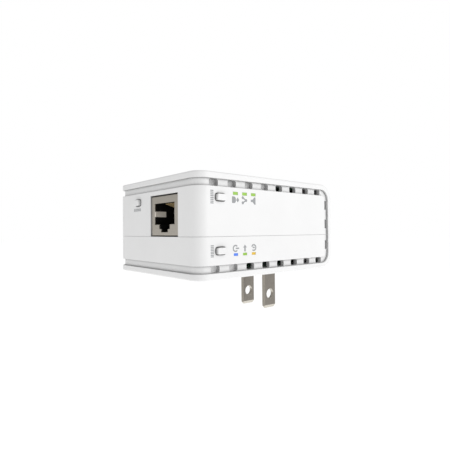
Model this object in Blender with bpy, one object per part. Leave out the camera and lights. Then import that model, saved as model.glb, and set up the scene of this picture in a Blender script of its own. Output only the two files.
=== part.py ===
"""Plug-in powerline adapter with a network socket, built from its separate pieces.

The part stands as it hangs from a socket outlet laid flat: the wall face is the
bottom of the case, the plug blades point down. The origin is on the wall face,
halfway between the two blades. +X runs along the indicator face, away from the
network socket, +Y runs from the indicator face to the back, +Z away from the wall.
"""
import math

import bpy
import bmesh
from mathutils import Vector

MM = 0.001

# Case
BODY_LENGTH = 64.7 * MM
BODY_DEPTH = 50.0 * MM
TOP = 31.8 * MM
PLUG_FROM_LEFT = 54.1 * MM
PLUG_FROM_FRONT = 30.0 * MM
LEFT = -PLUG_FROM_LEFT
RIGHT = LEFT + BODY_LENGTH
FRONT = -PLUG_FROM_FRONT
BACK = FRONT + BODY_DEPTH
WALL = 2.2 * MM
SEAM = 12.7 * MM
SEAM_GAP = 0.3 * MM
CORNER_RADIUS = 4.0 * MM
END_RADIUS = 6.0 * MM
EDGE_RADIUS = 0.6 * MM
FAR = 5.0 * MM
ARC_STEPS = 6

# Groove that frames both faces, and the vent slots in its floor
RIM = 2.0 * MM
GROOVE_WIDTH = 2.27 * MM
GROOVE_DEPTH = 0.8 * MM
SLOT_LENGTH = 3.4 * MM
SLOT_HEIGHT = 2.1 * MM
SLOT_RADIUS = 0.6 * MM
SLOT_REACH = WALL + 0.1 * MM
SLOT_FIRST_UPPER = LEFT + 6.6 * MM
SLOT_FIRST_LOWER = LEFT + 7.0 * MM
SLOT_PITCH = 7.155 * MM
SLOT_COUNT = 8
END_SLOT_LEVELS = (24.0 * MM, 16.8 * MM, 8.8 * MM)
UPPER_GROOVE = TOP - RIM - GROOVE_WIDTH / 2
LOWER_GROOVE = RIM + GROOVE_WIDTH / 2
END_GROOVE = RIGHT - RIM - GROOVE_WIDTH / 2

# Lip on the lower shell that stands inside the upper one
LIP_BASE = 10.8 * MM
LIP_TOP = 13.8 * MM
LIP_CLEARANCE = 0.25 * MM
LIP_THICKNESS = 1.0 * MM
LIP_STEP = SEAM - 0.4 * MM
LIP_WELD = 0.5 * MM
LIP_OUTER_RADIUS = 1.6 * MM
LIP_INNER_RADIUS = 1.0 * MM

# Ribs that back the first vent slots, which are blind
RIB_START = LEFT + 4.5 * MM
RIB_END_UPPER = LEFT + 31.0 * MM
RIB_END_LOWER = LEFT + 17.0 * MM
RIB_FRONT = FRONT + 2.0 * MM
RIB_BACK = FRONT + 3.4 * MM
RIB_TOP_LOWER = 5.4 * MM

# Network socket
JACK_Y = FRONT + 17.95 * MM
WINDOW_HALF_WIDTH = 8.15 * MM
WINDOW_TOP = 26.05 * MM
SHIELD_HALF_WIDTH = 7.95 * MM
SHIELD_BOTTOM = 12.95 * MM
SHIELD_TOP = 25.75 * MM
SHIELD_FRONT = LEFT + 0.3 * MM
SHIELD_LENGTH = 21.2 * MM
SHIELD_SHEET = 0.4 * MM
SHIELD_SIDE_GAP = 0.4 * MM
HOUSING_GAP = 0.2 * MM
JACK_OPENING_HALF_WIDTH = 5.9 * MM
JACK_OPENING_TOP = 23.4 * MM
JACK_OPENING_BOTTOM = 16.55 * MM
LATCH_STEP_HALF_WIDTH = 3.15 * MM
LATCH_STEP_BOTTOM = 15.1 * MM
LATCH_SLOT_HALF_WIDTH = 2.0 * MM
LATCH_SLOT_BOTTOM = 14.1 * MM
JACK_CAVITY_DEPTH = 13.0 * MM
FINGER_LOW = 19.1 * MM
FINGER_HIGH = 20.9 * MM
FINGER_LENGTH = 4.3 * MM
FINGER_INSET = 0.05 * MM
FINGER_SHEET = 0.25 * MM
CONTACT_COUNT = 8
CONTACT_PITCH = 1.016 * MM
CONTACT_WIDTH = 0.4 * MM
CONTACT_THICKNESS = 0.25 * MM
CONTACT_CEILING = JACK_OPENING_TOP + 0.9 * MM
CONTACT_BACK = 1.2 * MM
CONTACT_PATH = ((2.4 * MM, 0), (1.9 * MM, -0.35 * MM), (2.1 * MM, -0.85 * MM), (8.5 * MM, -2.75 * MM))
CHANNEL_SIDE = 0.3 * MM
CHANNEL_START = 1.2 * MM
CHANNEL_BACK = 1.5 * MM
CHANNEL_BELOW = 1.0 * MM
CHANNEL_ABOVE = 1.2 * MM

# Buttons: a face that stands proud of the case, a flange behind the wall, and a
# stem that meets the plunger of a switch
BUTTON_WIDTH = 3.67 * MM
BUTTON_HEIGHT = 2.0 * MM
BUTTON_RADIUS = 0.6 * MM
BUTTON_PROUD = 1.1 * MM
BUTTON_CLEARANCE = 0.15 * MM
FLANGE_THICKNESS = 0.8 * MM
FLANGE_MARGIN = 0.65 * MM
FLANGE_GAP = 0.2 * MM
STEM_RADIUS = 0.9 * MM
STEM_LENGTH = 1.7 * MM
PLUNGER_RADIUS = 0.7 * MM
PLUNGER_LENGTH = 1.65 * MM
PLUNGER_GAP = 0.05 * MM
PLUNGER_BORE = 0.85 * MM
PLUNGER_SEAT = 0.85 * MM
SWITCH_WIDTH = 4.6 * MM
SWITCH_DEPTH = 3.6 * MM
SWITCH_BOARD_SIDE = 2.0 * MM
SWITCH_FREE_SIDE = 1.8 * MM
FRONT_BUTTON_X = LEFT + 8.55 * MM
MODE_Z = 24.3 * MM
SYNC_Z = 8.5 * MM
RESET_Y = FRONT + 34.7 * MM
RESET_Z = 24.35 * MM

# Indicator windows, as light pipes with their lamps behind them
PIPE_X = (LEFT + 14.5 * MM, LEFT + 18.3 * MM, LEFT + 22.12 * MM)
UPPER_PIPE_Z = 25.77 * MM
LOWER_PIPE_Z = 7.15 * MM
UPPER_PIPE_SIZE = (2.0 * MM, 0.92 * MM)
LOWER_PIPE_SIZE = (1.68 * MM, 0.78 * MM)
PIPE_CLEARANCE = 0.12 * MM
PIPE_LENGTH = 5.55 * MM
PIPE_RECESS = 0.05 * MM
PIPE_FLANGE = 0.3 * MM
PIPE_COLLAR = 0.8 * MM
LAMP_SIZE = (3.0 * MM, 1.2 * MM, 1.15 * MM)

# Circuit boards
BOARD_LEFT = LEFT + 3.6 * MM
BOARD_RIGHT = RIGHT - 3.6 * MM
BOARD_FRONT = FRONT + 4.4 * MM
BOARD_BACK = BACK - 3.5 * MM
POWER_BOARD_BOTTOM = 4.7 * MM
POWER_BOARD_TOP = 6.3 * MM
RADIO_BOARD_BOTTOM = 26.5 * MM
RADIO_BOARD_TOP = 27.7 * MM
SEAT = 0.2 * MM
PILLAR_RADIUS = 1.3 * MM
PILLARS = ((LEFT + 25.5 * MM, FRONT + 6.4 * MM), (LEFT + 44.0 * MM, FRONT + 6.4 * MM),
           (LEFT + 28.0 * MM, BACK - 5.0 * MM), (LEFT + 44.0 * MM, BACK - 5.0 * MM))

# Plug: two flat, parallel blades of the ungrounded North American pattern
BLADE_SPACING = 12.7 * MM
BLADE_WIDTH = 6.35 * MM
BLADE_THICKNESS = 1.52 * MM
BLADE_LENGTH = 17.65 * MM
BLADE_HOLE_RADIUS = 1.98 * MM
BLADE_HOLE_FROM_WALL = 11.9 * MM
BLADE_TIP = 1.2 * MM
BLADE_CORNER = 0.8 * MM
BLADE_TIP_THICKNESS = 0.7 * MM
BLADE_TIP_WIDTH = 5.2 * MM
BLADE_TAB_WIDTH = 2.6 * MM
BLADE_TAB_TOP = 8.2 * MM
BLADE_SHOULDER = 4.4 * MM
BLADE_SLOT_GAP = 0.2 * MM
CARRIER_LOW = (-6.0 * MM, -10.5 * MM)
CARRIER_HIGH = (5.2 * MM, 10.5 * MM)
CARRIER_GAP = 0.3 * MM

# Case screws, driven from the wall face
SCREWS = ((0.3 * MM, FRONT + 6.0 * MM), (0.3 * MM, BACK - 6.0 * MM), (LEFT + 6.1 * MM, BACK - 6.2 * MM))
SCREW_RADIUS = 1.1 * MM
SCREW_TIP = 15.5 * MM
SCREW_HEAD_RADIUS = 2.0 * MM
SCREW_HEAD_LOW = 0.9 * MM
SCREW_HEAD_HIGH = 2.4 * MM
SCREW_CROWN = 0.5 * MM
SCREW_CROWN_RADIUS = 1.5 * MM
SCREW_POINT_RADIUS = 0.44 * MM
SCREW_POINT = 1.0 * MM
SCREW_RECESS_TOP = 1.7 * MM
RECESS_ARMS = ((1.1 * MM, 0.25 * MM), (0.25 * MM, 1.1 * MM))
BOSS_GAP = 0.3 * MM
WELL_RADIUS = 2.3 * MM
WELL_TOP = 2.6 * MM
POST_FOOT_RADIUS = 3.2 * MM
POST_FOOT_TOP = 4.4 * MM
POST_RADIUS = 2.4 * MM
POST_TOP = 8.4 * MM
SCREW_HOLE_RADIUS = 1.35 * MM
BOARD_NOTCH = 3.0 * MM

# Rating label, left blank, in a shallow pocket of the wall face
LABEL_LOW = (LEFT + 10.0 * MM, FRONT + 10.0 * MM)
LABEL_HIGH = (LEFT + 42.0 * MM, BACK - 12.0 * MM)
LABEL_POCKET = 0.3 * MM
LABEL_FACE = 0.05 * MM
LABEL_THICKNESS = 0.15 * MM
LABEL_RADIUS = 1.5 * MM

# Mains side: low corner over the board, then size
BOBBIN = ((-22.5 * MM, -8.0 * MM), (12.0 * MM, 14.0 * MM, 12.0 * MM))
CORE_LIMB = 4.0 * MM
CORE_YOKE = 2.7 * MM
CORE_SIDE_INSET = 1.0 * MM
CORE_GAP = 0.3 * MM
CORE_TOP_LIMB = 2.2 * MM
SUPPRESSION_CAPACITOR = ((-7.0 * MM, -19.5 * MM), (13.0 * MM, 5.8 * MM, 11.0 * MM))
BRIDGE_RECTIFIER = ((-7.0 * MM, -2.4 * MM), (7.5 * MM, 4.8 * MM, 2.6 * MM))
LINE_COUPLER = ((-31.0 * MM, -14.5 * MM), (7.0 * MM, 9.5 * MM, 7.5 * MM))
BOARD_LINK = ((-43.7 * MM, 3.5 * MM), (2.0 * MM, 10.5 * MM, RADIO_BOARD_BOTTOM - POWER_BOARD_TOP - 2 * SEAT))
STORAGE_CAPACITOR_ENDS = (-41.0 * MM, -25.0 * MM)
STORAGE_CAPACITOR_Y = 10.2 * MM
STORAGE_CAPACITOR_RADIUS = 5.0 * MM
OUTPUT_CAPACITOR_PLACE = (-28.5 * MM, 0)
OUTPUT_CAPACITOR_RADIUS = 3.15 * MM
OUTPUT_CAPACITOR_HEIGHT = 11.0 * MM
FUSE_ENDS = (-6.5 * MM, 3.5 * MM)
FUSE_Y = -11.4 * MM
FUSE_RADIUS = 1.75 * MM
VARISTOR_FACES = (10.6 * MM, 14.4 * MM)
VARISTOR_X = -8.0 * MM
VARISTOR_RADIUS = 4.5 * MM
CHOKE_PLACE = (-14.5 * MM, -17.5 * MM)
CHOKE_RADIUS = 4.0 * MM
CHOKE_THICKNESS = 1.7 * MM
CHOKE_WIDENING = 1.3
PART_LIFT = 0.05 * MM

# Signal side: low corner under the board, then size
NETWORK_TRANSFORMER = ((-31.0 * MM, -15.0 * MM), (12.7 * MM, 7.0 * MM, 3.2 * MM))
RADIO_CHIP = ((-13.5 * MM, -8.0 * MM), (12.0 * MM, 12.0 * MM, 1.0 * MM))
POWERLINE_CHIP = ((-28.0 * MM, 1.0 * MM), (10.0 * MM, 10.0 * MM, 1.0 * MM))
SINK_LOW = (-16.0 * MM, -11.0 * MM)
SINK_HIGH = (1.5 * MM, 7.0 * MM)
SINK_PLATE = 1.2 * MM
FIN_COUNT = 6
FIN_FIRST = -15.6 * MM
FIN_PITCH = 3.3 * MM
FIN_THICKNESS = 0.8 * MM
FIN_REACH = 2.8 * MM
FIN_INSET = 0.2 * MM
ANTENNA_X = (5.3 * MM, 5.7 * MM)
ANTENNA_FRONT_Y = -19.0 * MM
ANTENNA_BACK_Y = -1.0 * MM
ANTENNA_WIDTH = 12.0 * MM
ANTENNA_LEVELS = (5.5 * MM, 1.5 * MM)
ANTENNA_WELD = 2.0 * MM
ANTENNA_LEGS = ((1.0 * MM, 2.2 * MM), (4.0 * MM, 4.8 * MM))

WHITE_PLASTIC = (0.90, 0.90, 0.90)
SHIELD_METAL = (0.42, 0.39, 0.34)
BLADE_METAL = (0.50, 0.46, 0.40)
GREEN_LIGHT = (0.39, 0.67, 0.12)
BLUE_LIGHT = (0.18, 0.36, 0.99)
AMBER_LIGHT = (0.87, 0.59, 0.08)


# ---------------------------------------------------------------- outlines and solids

def arc(centre, radius, start, end, steps):
    """Points on an arc; the angles are in degrees and both ends are included."""
    points = []
    for step in range(steps + 1):
        angle = math.radians(start + (end - start) * step / steps)
        points.append((centre[0] + radius * math.cos(angle), centre[1] + radius * math.sin(angle)))
    return points


def circle(centre, radius, steps):
    """Points of a closed circle, the first one not repeated."""
    return arc(centre, radius, 0, 360, steps)[:-1]


def rounded_rectangle(low, high, radii, steps=ARC_STEPS):
    """Rectangle outline; the radii go anticlockwise from the low corner."""
    corners = ((low[0], low[1], 1, 1, 180), (high[0], low[1], -1, 1, 270),
               (high[0], high[1], -1, -1, 0), (low[0], high[1], 1, -1, 90))
    points = []
    for (x, y, side_x, side_y, start), radius in zip(corners, radii):
        if radius == 0:
            points.append((x, y))
        else:
            centre = (x + side_x * radius, y + side_y * radius)
            points += arc(centre, radius, start, start + 90, steps)
    return points


def placed(axis, flat, height):
    """Point in space for a flat point on the plane across an axis."""
    if axis == "X":
        return (height, flat[0], flat[1])
    if axis == "Y":
        return (flat[0], height, flat[1])
    return (flat[0], flat[1], height)


def object_from(name, mesh_builder):
    """Linked object whose mesh takes the builder's faces, all facing out."""
    bmesh.ops.recalc_face_normals(mesh_builder, faces=mesh_builder.faces[:])
    mesh = bpy.data.meshes.new(name)
    mesh_builder.to_mesh(mesh)
    mesh_builder.free()
    piece = bpy.data.objects.new(name, mesh)
    bpy.context.scene.collection.objects.link(piece)
    return piece


def add_prism(builder, outline, low, high, axis="Z"):
    """Add a closed solid: an outline carried from low to high along an axis."""
    start = [builder.verts.new(placed(axis, point, low)) for point in outline]
    end = [builder.verts.new(placed(axis, point, high)) for point in outline]
    builder.faces.new(start)
    builder.faces.new(end)
    for index in range(len(outline)):
        follower = (index + 1) % len(outline)
        builder.faces.new((start[index], start[follower], end[follower], end[index]))


def prism(name, outline, low, high, axis="Z"):
    """Closed solid made from one outline."""
    builder = bmesh.new()
    add_prism(builder, outline, low, high, axis)
    return object_from(name, builder)


def prisms(name, outlines, low, high, axis="Z"):
    """Several separate prisms in one mesh, for use as one cutter."""
    builder = bmesh.new()
    for outline in outlines:
        add_prism(builder, outline, low, high, axis)
    return object_from(name, builder)


def box(name, low, high):
    """Axis-aligned block between two corners."""
    outline = rounded_rectangle(low[:2], high[:2], (0, 0, 0, 0))
    return prism(name, outline, low[2], high[2])


def cylinder(name, centre, radius, low, high, axis="Z", steps=16):
    """Round bar along an axis."""
    return prism(name, circle(centre, radius, steps), low, high, axis)


def stack(name, levels):
    """Closed solid through outlines of equal length, each at its own height."""
    builder = bmesh.new()
    rings = []
    for outline, height in levels:
        rings.append([builder.verts.new((x, y, height)) for x, y in outline])
    builder.faces.new(rings[0])
    builder.faces.new(rings[-1])
    for lower, upper in zip(rings, rings[1:]):
        for index in range(len(lower)):
            follower = (index + 1) % len(lower)
            builder.faces.new((lower[index], lower[follower], upper[follower], upper[index]))
    return object_from(name, builder)


def remove(piece):
    """Delete an object together with its mesh."""
    mesh = piece.data
    bpy.data.objects.remove(piece, do_unlink=True)
    bpy.data.meshes.remove(mesh)


def bake(piece):
    """Turn what the modifiers make into the object's own mesh."""
    graph = bpy.context.evaluated_depsgraph_get()
    mesh = bpy.data.meshes.new_from_object(piece.evaluated_get(graph))
    worn = piece.data
    piece.modifiers.clear()
    piece.data = mesh
    bpy.data.meshes.remove(worn)


def combine(piece, tools, operation):
    """Boolean each tool into the piece, then remove the tools."""
    for tool in tools:
        modifier = piece.modifiers.new(operation, "BOOLEAN")
        modifier.operation = operation
        modifier.solver = "EXACT"
        modifier.object = tool
    bake(piece)
    for tool in tools:
        remove(tool)
    return piece


def cut(piece, *tools):
    """Take the tools away from the piece."""
    return combine(piece, tools, "DIFFERENCE")


def join(piece, *tools):
    """Weld the tools onto the piece."""
    return combine(piece, tools, "UNION")


def soften(piece, width, segments=1, limit=40):
    """Round the edges that are sharper than the limit, in degrees."""
    modifier = piece.modifiers.new("soften", "BEVEL")
    modifier.width = width
    modifier.segments = segments
    modifier.limit_method = "ANGLE"
    modifier.angle_limit = math.radians(limit)
    modifier.use_clamp_overlap = True
    bake(piece)
    return piece


# ---------------------------------------------------------------- finishing

def material(name, colour, roughness, metallic=0.0, alpha=1.0):
    """Principled material, made once per name."""
    surface = bpy.data.materials.get(name)
    if surface:
        return surface
    surface = bpy.data.materials.new(name)
    surface.use_nodes = True
    shader = surface.node_tree.nodes["Principled BSDF"]
    shader.inputs["Base Color"].default_value = (*colour, 1.0)
    shader.inputs["Roughness"].default_value = roughness
    shader.inputs["Metallic"].default_value = metallic
    shader.inputs["Alpha"].default_value = alpha
    return surface


def finish(piece, surface, origin):
    """Give the piece its material, smooth shading and its own origin."""
    piece.data.materials.clear()
    piece.data.materials.append(surface)
    shift = Vector(origin)
    for vertex in piece.data.vertices:
        vertex.co -= shift
    piece.location = shift
    piece.data.shade_smooth()
    piece.data.set_sharp_from_angle(angle=math.radians(35))
    piece.parent = bpy.data.objects["powerline_adapter"]
    return piece


# ---------------------------------------------------------------- case

def plan_outline(inset, right):
    """The case from above, inset from its outer surface, up to a given right end."""
    radius = CORNER_RADIUS - min(inset, CORNER_RADIUS - 1.0 * MM)
    low = (LEFT + inset, FRONT + inset)
    return rounded_rectangle(low, (right, BACK - inset), (radius, 0, 0, radius))


def side_outline(inset, left):
    """The case from the front, inset from its outer surface, from a given left end."""
    radius = END_RADIUS - inset
    return rounded_rectangle((left, inset), (RIGHT - inset, TOP - inset), (0, radius, radius, 0))


def case_block(name, inset):
    """The whole case shape, inset from its outer surface."""
    plan = prism(name, plan_outline(inset, RIGHT + FAR), -FAR, TOP + FAR)
    side = prism("side", side_outline(inset, LEFT - FAR), FRONT - FAR, BACK + FAR, "Y")
    return combine(plan, [side], "INTERSECT")


def groove_cutter():
    """The framing groove: round the front, the left side and the back."""
    band = prism("band", side_outline(RIM, LEFT - FAR), FRONT - FAR, BACK + FAR, "Y")
    panel = prism("panel", side_outline(RIM + GROOVE_WIDTH, LEFT - 2 * FAR),
                  FRONT - 2 * FAR, BACK + 2 * FAR, "Y")
    core_radius = CORNER_RADIUS - GROOVE_DEPTH
    core_outline = rounded_rectangle((LEFT + GROOVE_DEPTH, FRONT + GROOVE_DEPTH),
                                     (RIGHT + 2 * FAR, BACK - GROOVE_DEPTH),
                                     (core_radius, 0, 0, core_radius))
    core = prism("core", core_outline, -FAR, TOP + FAR)
    return cut(band, panel, core)


def slot_outline(x, z, width, height):
    """One vent slot, seen from the front."""
    low = (x - width / 2, z - height / 2)
    high = (x + width / 2, z + height / 2)
    return rounded_rectangle(low, high, (SLOT_RADIUS,) * 4, 2)


def slot_cutter(name, first, level, end_levels):
    """Row of vent slots and their end slots, cut through the front and back walls alike."""
    outlines = []
    for number in range(SLOT_COUNT):
        x = first + number * SLOT_PITCH
        outlines.append(slot_outline(x, level, SLOT_LENGTH, SLOT_HEIGHT))
    for end_level in end_levels:
        outlines.append(slot_outline(END_GROOVE, end_level, SLOT_HEIGHT, SLOT_LENGTH))
    front = prisms(name + "_front", outlines, FRONT - MM, FRONT + SLOT_REACH, "Y")
    back = prisms(name + "_back", outlines, BACK - SLOT_REACH, BACK + MM, "Y")
    return front, back


def button_hole(name, centre, axis, low, high):
    """Hole that a button's face slides in, across an axis."""
    half_width = BUTTON_WIDTH / 2 + BUTTON_CLEARANCE
    half_height = BUTTON_HEIGHT / 2 + BUTTON_CLEARANCE
    outline = rounded_rectangle((centre[0] - half_width, centre[1] - half_height),
                                (centre[0] + half_width, centre[1] + half_height),
                                (BUTTON_RADIUS + BUTTON_CLEARANCE,) * 4, 3)
    return prism(name, outline, low, high, axis)


def pipe_holes(name, z, size):
    """The three indicator windows of one row."""
    outlines = []
    for x in PIPE_X:
        half_width = size[0] / 2 + PIPE_CLEARANCE
        half_height = size[1] / 2 + PIPE_CLEARANCE
        outlines.append(rounded_rectangle((x - half_width, z - half_height),
                                          (x + half_width, z + half_height), (0, 0, 0, 0)))
    return prisms(name, outlines, FRONT - MM, FRONT + WALL + MM, "Y")


def shell_blank(name, low, high):
    """Hollow case with its groove, kept between two heights."""
    shell = soften(case_block(name, 0), EDGE_RADIUS, 2)
    below = box("below", (LEFT - FAR, FRONT - FAR, -2 * FAR), (RIGHT + FAR, BACK + FAR, low))
    above = box("above", (LEFT - FAR, FRONT - FAR, high), (RIGHT + FAR, BACK + FAR, TOP + 2 * FAR))
    return cut(shell, case_block("cavity", WALL), groove_cutter(), below, above)


def make_upper_shell(surface):
    """Room-side shell: network socket window, upper buttons and indicators, bosses."""
    shell = shell_blank("upper_shell", SEAM + SEAM_GAP / 2, TOP + FAR)
    ceiling = TOP - WALL / 2
    for x, y in SCREWS:
        boss = cylinder("boss", (x, y), POST_RADIUS, POST_TOP + BOSS_GAP, ceiling)
        pilot = cylinder("pilot", (x, y), SCREW_HOLE_RADIUS, 0, SCREW_TIP + MM, steps=12)
        join(shell, boss)
        cut(shell, pilot)
    for place in PILLARS:
        join(shell, cylinder("pillar", place, PILLAR_RADIUS, RADIO_BOARD_TOP + SEAT, ceiling, steps=10))
    join(shell, box("rib", (RIB_START, RIB_FRONT, RADIO_BOARD_BOTTOM + 0.4 * MM),
                    (RIB_END_UPPER, RIB_BACK, ceiling)))
    window = box("window", (LEFT - MM, JACK_Y - WINDOW_HALF_WIDTH, 0),
                 (LEFT + WALL + MM, JACK_Y + WINDOW_HALF_WIDTH, WINDOW_TOP))
    mode_hole = button_hole("mode_hole", (FRONT_BUTTON_X, MODE_Z), "Y", FRONT - MM, FRONT + WALL + MM)
    reset_hole = button_hole("reset_hole", (RESET_Y, RESET_Z), "X", LEFT - MM, LEFT + WALL + MM)
    cut(shell, window, mode_hole, reset_hole, pipe_holes("pipes", UPPER_PIPE_Z, UPPER_PIPE_SIZE))
    cut(shell, *slot_cutter("slots", SLOT_FIRST_UPPER, UPPER_GROOVE, END_SLOT_LEVELS[:2]))
    return finish(shell, surface, (0, 0, TOP))


def lip_ring(name, outer, inner, low, high):
    """Part of the lip: a ring between two insets from the case's outside."""
    outlines = []
    for inset, radius in ((outer, LIP_OUTER_RADIUS), (inner, LIP_INNER_RADIUS)):
        outlines.append(rounded_rectangle((LEFT + inset, FRONT + inset), (RIGHT - inset, BACK - inset),
                                          (radius, 0, 0, radius), 3))
    return cut(prism(name, outlines[0], low, high), prism("hole", outlines[1], low - MM, high + MM))


def make_lower_shell(surface):
    """Wall-side shell: blade slots, screw wells, label pocket, lip, lower indicators."""
    shell = shell_blank("lower_shell", -FAR, SEAM - SEAM_GAP / 2)
    inner = WALL + LIP_CLEARANCE + LIP_THICKNESS
    join(shell, lip_ring("lip_foot", WALL - LIP_WELD, inner, LIP_BASE, LIP_STEP))
    join(shell, lip_ring("lip", WALL + LIP_CLEARANCE, inner, LIP_STEP - LIP_WELD, LIP_TOP))
    for x, y in SCREWS:
        join(shell, cylinder("foot", (x, y), POST_FOOT_RADIUS, WALL / 2, POST_FOOT_TOP),
             cylinder("post", (x, y), POST_RADIUS, WALL / 2, POST_TOP))
        cut(shell, cylinder("well", (x, y), WELL_RADIUS, -MM, WELL_TOP, steps=20),
            cylinder("bore", (x, y), SCREW_HOLE_RADIUS, 0, POST_TOP + MM, steps=12))
    for place in PILLARS:
        join(shell, cylinder("standoff", place, PILLAR_RADIUS, WALL / 2,
                             POWER_BOARD_BOTTOM - SEAT, steps=10))
    join(shell, box("rib", (RIB_START, RIB_FRONT, WALL / 2), (RIB_END_LOWER, RIB_BACK, RIB_TOP_LOWER)))
    gap_half = SHIELD_HALF_WIDTH + SHIELD_SIDE_GAP
    jack_gap = box("jack_gap", (LEFT + WALL, JACK_Y - gap_half, LIP_STEP),
                   (LEFT + FAR, JACK_Y + gap_half, TOP))
    sync_hole = button_hole("sync_hole", (FRONT_BUTTON_X, SYNC_Z), "Y", FRONT - MM, FRONT + WALL + MM)
    cut(shell, jack_gap, sync_hole, pipe_holes("pipes", LOWER_PIPE_Z, LOWER_PIPE_SIZE))
    for side in (-1, 1):
        half_x = BLADE_WIDTH / 2 + BLADE_SLOT_GAP
        half_y = BLADE_THICKNESS / 2 + BLADE_SLOT_GAP
        y = side * BLADE_SPACING / 2
        cut(shell, box("blade_slot", (-half_x, y - half_y, -MM), (half_x, y + half_y, WALL + MM)))
    pocket = rounded_rectangle([value - SEAT for value in LABEL_LOW],
                               [value + SEAT for value in LABEL_HIGH], (LABEL_RADIUS + SEAT,) * 4, 3)
    cut(shell, prism("pocket", pocket, -MM, LABEL_POCKET))
    cut(shell, *slot_cutter("slots", SLOT_FIRST_LOWER, LOWER_GROOVE, END_SLOT_LEVELS[2:]))
    return finish(shell, surface, (0, 0, 0))


def make_screws(surface):
    """Pan-head screws that hold the two shells together."""
    for number, (x, y) in enumerate(SCREWS, 1):
        profile = ((SCREW_CROWN_RADIUS, SCREW_HEAD_LOW), (SCREW_HEAD_RADIUS, SCREW_HEAD_LOW + SCREW_CROWN),
                   (SCREW_HEAD_RADIUS, SCREW_HEAD_HIGH), (SCREW_RADIUS, SCREW_HEAD_HIGH),
                   (SCREW_RADIUS, SCREW_TIP - SCREW_POINT), (SCREW_POINT_RADIUS, SCREW_TIP))
        screw = stack("case_screw_%d" % number, [(circle((x, y), radius, 16), z) for radius, z in profile])
        for half_x, half_y in RECESS_ARMS:
            cut(screw, box("recess", (x - half_x, y - half_y, 0),
                           (x + half_x, y + half_y, SCREW_RECESS_TOP)))
        finish(screw, surface, (x, y, SCREW_HEAD_LOW))


def make_label(surface):
    """Blank rating label."""
    outline = rounded_rectangle(LABEL_LOW, LABEL_HIGH, (LABEL_RADIUS,) * 4, 3)
    label = prism("rating_label", outline, LABEL_FACE, LABEL_FACE + LABEL_THICKNESS)
    finish(label, surface, (LABEL_LOW[0], LABEL_LOW[1], 0))


# ---------------------------------------------------------------- buttons and indicators

def make_button(name, across, level, axis, plastic, dark):
    """A push button, the plunger that it presses, and the switch behind them.

    Across is the button's place along the face, axis the way it travels. The
    button's origin lies on that axis, on the outer face of the case.
    """
    face = LEFT if axis == "X" else FRONT
    sizes = (BUTTON_WIDTH / 2, BUTTON_HEIGHT / 2)
    outline = rounded_rectangle((across - sizes[0], level - sizes[1]), (across + sizes[0], level + sizes[1]),
                                (BUTTON_RADIUS,) * 4, 3)
    flange_outline = rounded_rectangle(
        (across - sizes[0] - FLANGE_MARGIN, level - sizes[1] - FLANGE_MARGIN),
        (across + sizes[0] + FLANGE_MARGIN, level + sizes[1] + FLANGE_MARGIN), (0, 0, 0, 0))
    flange_front = face + WALL + FLANGE_GAP
    flange_back = flange_front + FLANGE_THICKNESS
    stem_end = flange_back + STEM_LENGTH
    button = prism(name + "_button", outline, face - BUTTON_PROUD, flange_front + FLANGE_THICKNESS / 2, axis)
    join(button, prism("flange", flange_outline, flange_front, flange_back, axis),
         cylinder("stem", (across, level), STEM_RADIUS, flange_front, stem_end, axis, 12))
    origin = placed(axis, (across, level), face)
    finish(button, plastic, origin)

    plunger_low = stem_end + PLUNGER_GAP
    plunger = cylinder(name + "_plunger", (across, level), PLUNGER_RADIUS,
                       plunger_low, plunger_low + PLUNGER_LENGTH, axis, 12)
    finish(plunger, dark, origin)

    switch_front = plunger_low + PLUNGER_SEAT
    half = SWITCH_WIDTH / 2
    below, above = SWITCH_BOARD_SIDE, SWITCH_FREE_SIDE
    if level > TOP / 2:
        below, above = above, below
    body_outline = rounded_rectangle((across - half, level - below), (across + half, level + above),
                                     (0, 0, 0, 0))
    switch = prism(name + "_switch", body_outline, switch_front, switch_front + SWITCH_DEPTH, axis)
    cut(switch, cylinder("bore", (across, level), PLUNGER_BORE, switch_front - MM,
                         switch_front + 2 * PLUNGER_SEAT, axis, 12))
    finish(switch, dark, origin)


def make_indicators(row, z, size, lamp_base, colours, lamp_surface):
    """Light pipes of one row, flush with the face, and their lamps on the board."""
    for number, (x, colour) in enumerate(zip(PIPE_X, colours), 1):
        start = FRONT + PIPE_RECESS
        end = start + PIPE_LENGTH
        outline = rounded_rectangle((x - size[0] / 2, z - size[1] / 2), (x + size[0] / 2, z + size[1] / 2),
                                    (0, 0, 0, 0))
        pipe = prism("%s_light_pipe_%d" % (row, number), outline, start, end, "Y")
        collar = rounded_rectangle((x - size[0] / 2 - PIPE_FLANGE, z - size[1] / 2 - PIPE_FLANGE),
                                   (x + size[0] / 2 + PIPE_FLANGE, z + size[1] / 2 + PIPE_FLANGE),
                                   (0, 0, 0, 0))
        join(pipe, prism("collar", collar, FRONT + WALL + SEAT,
                         FRONT + WALL + SEAT + PIPE_COLLAR, "Y"))
        finish(pipe, material("light_%s" % colour[0], colour[1], 0.35), (x, FRONT, z))
        lamp_front = end + SEAT
        low = (x - LAMP_SIZE[0] / 2, lamp_front, lamp_base)
        high = (x + LAMP_SIZE[0] / 2, lamp_front + LAMP_SIZE[1], lamp_base + LAMP_SIZE[2])
        finish(box("%s_lamp_%d" % (row, number), low, high), lamp_surface, low)


# ---------------------------------------------------------------- network socket

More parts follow.
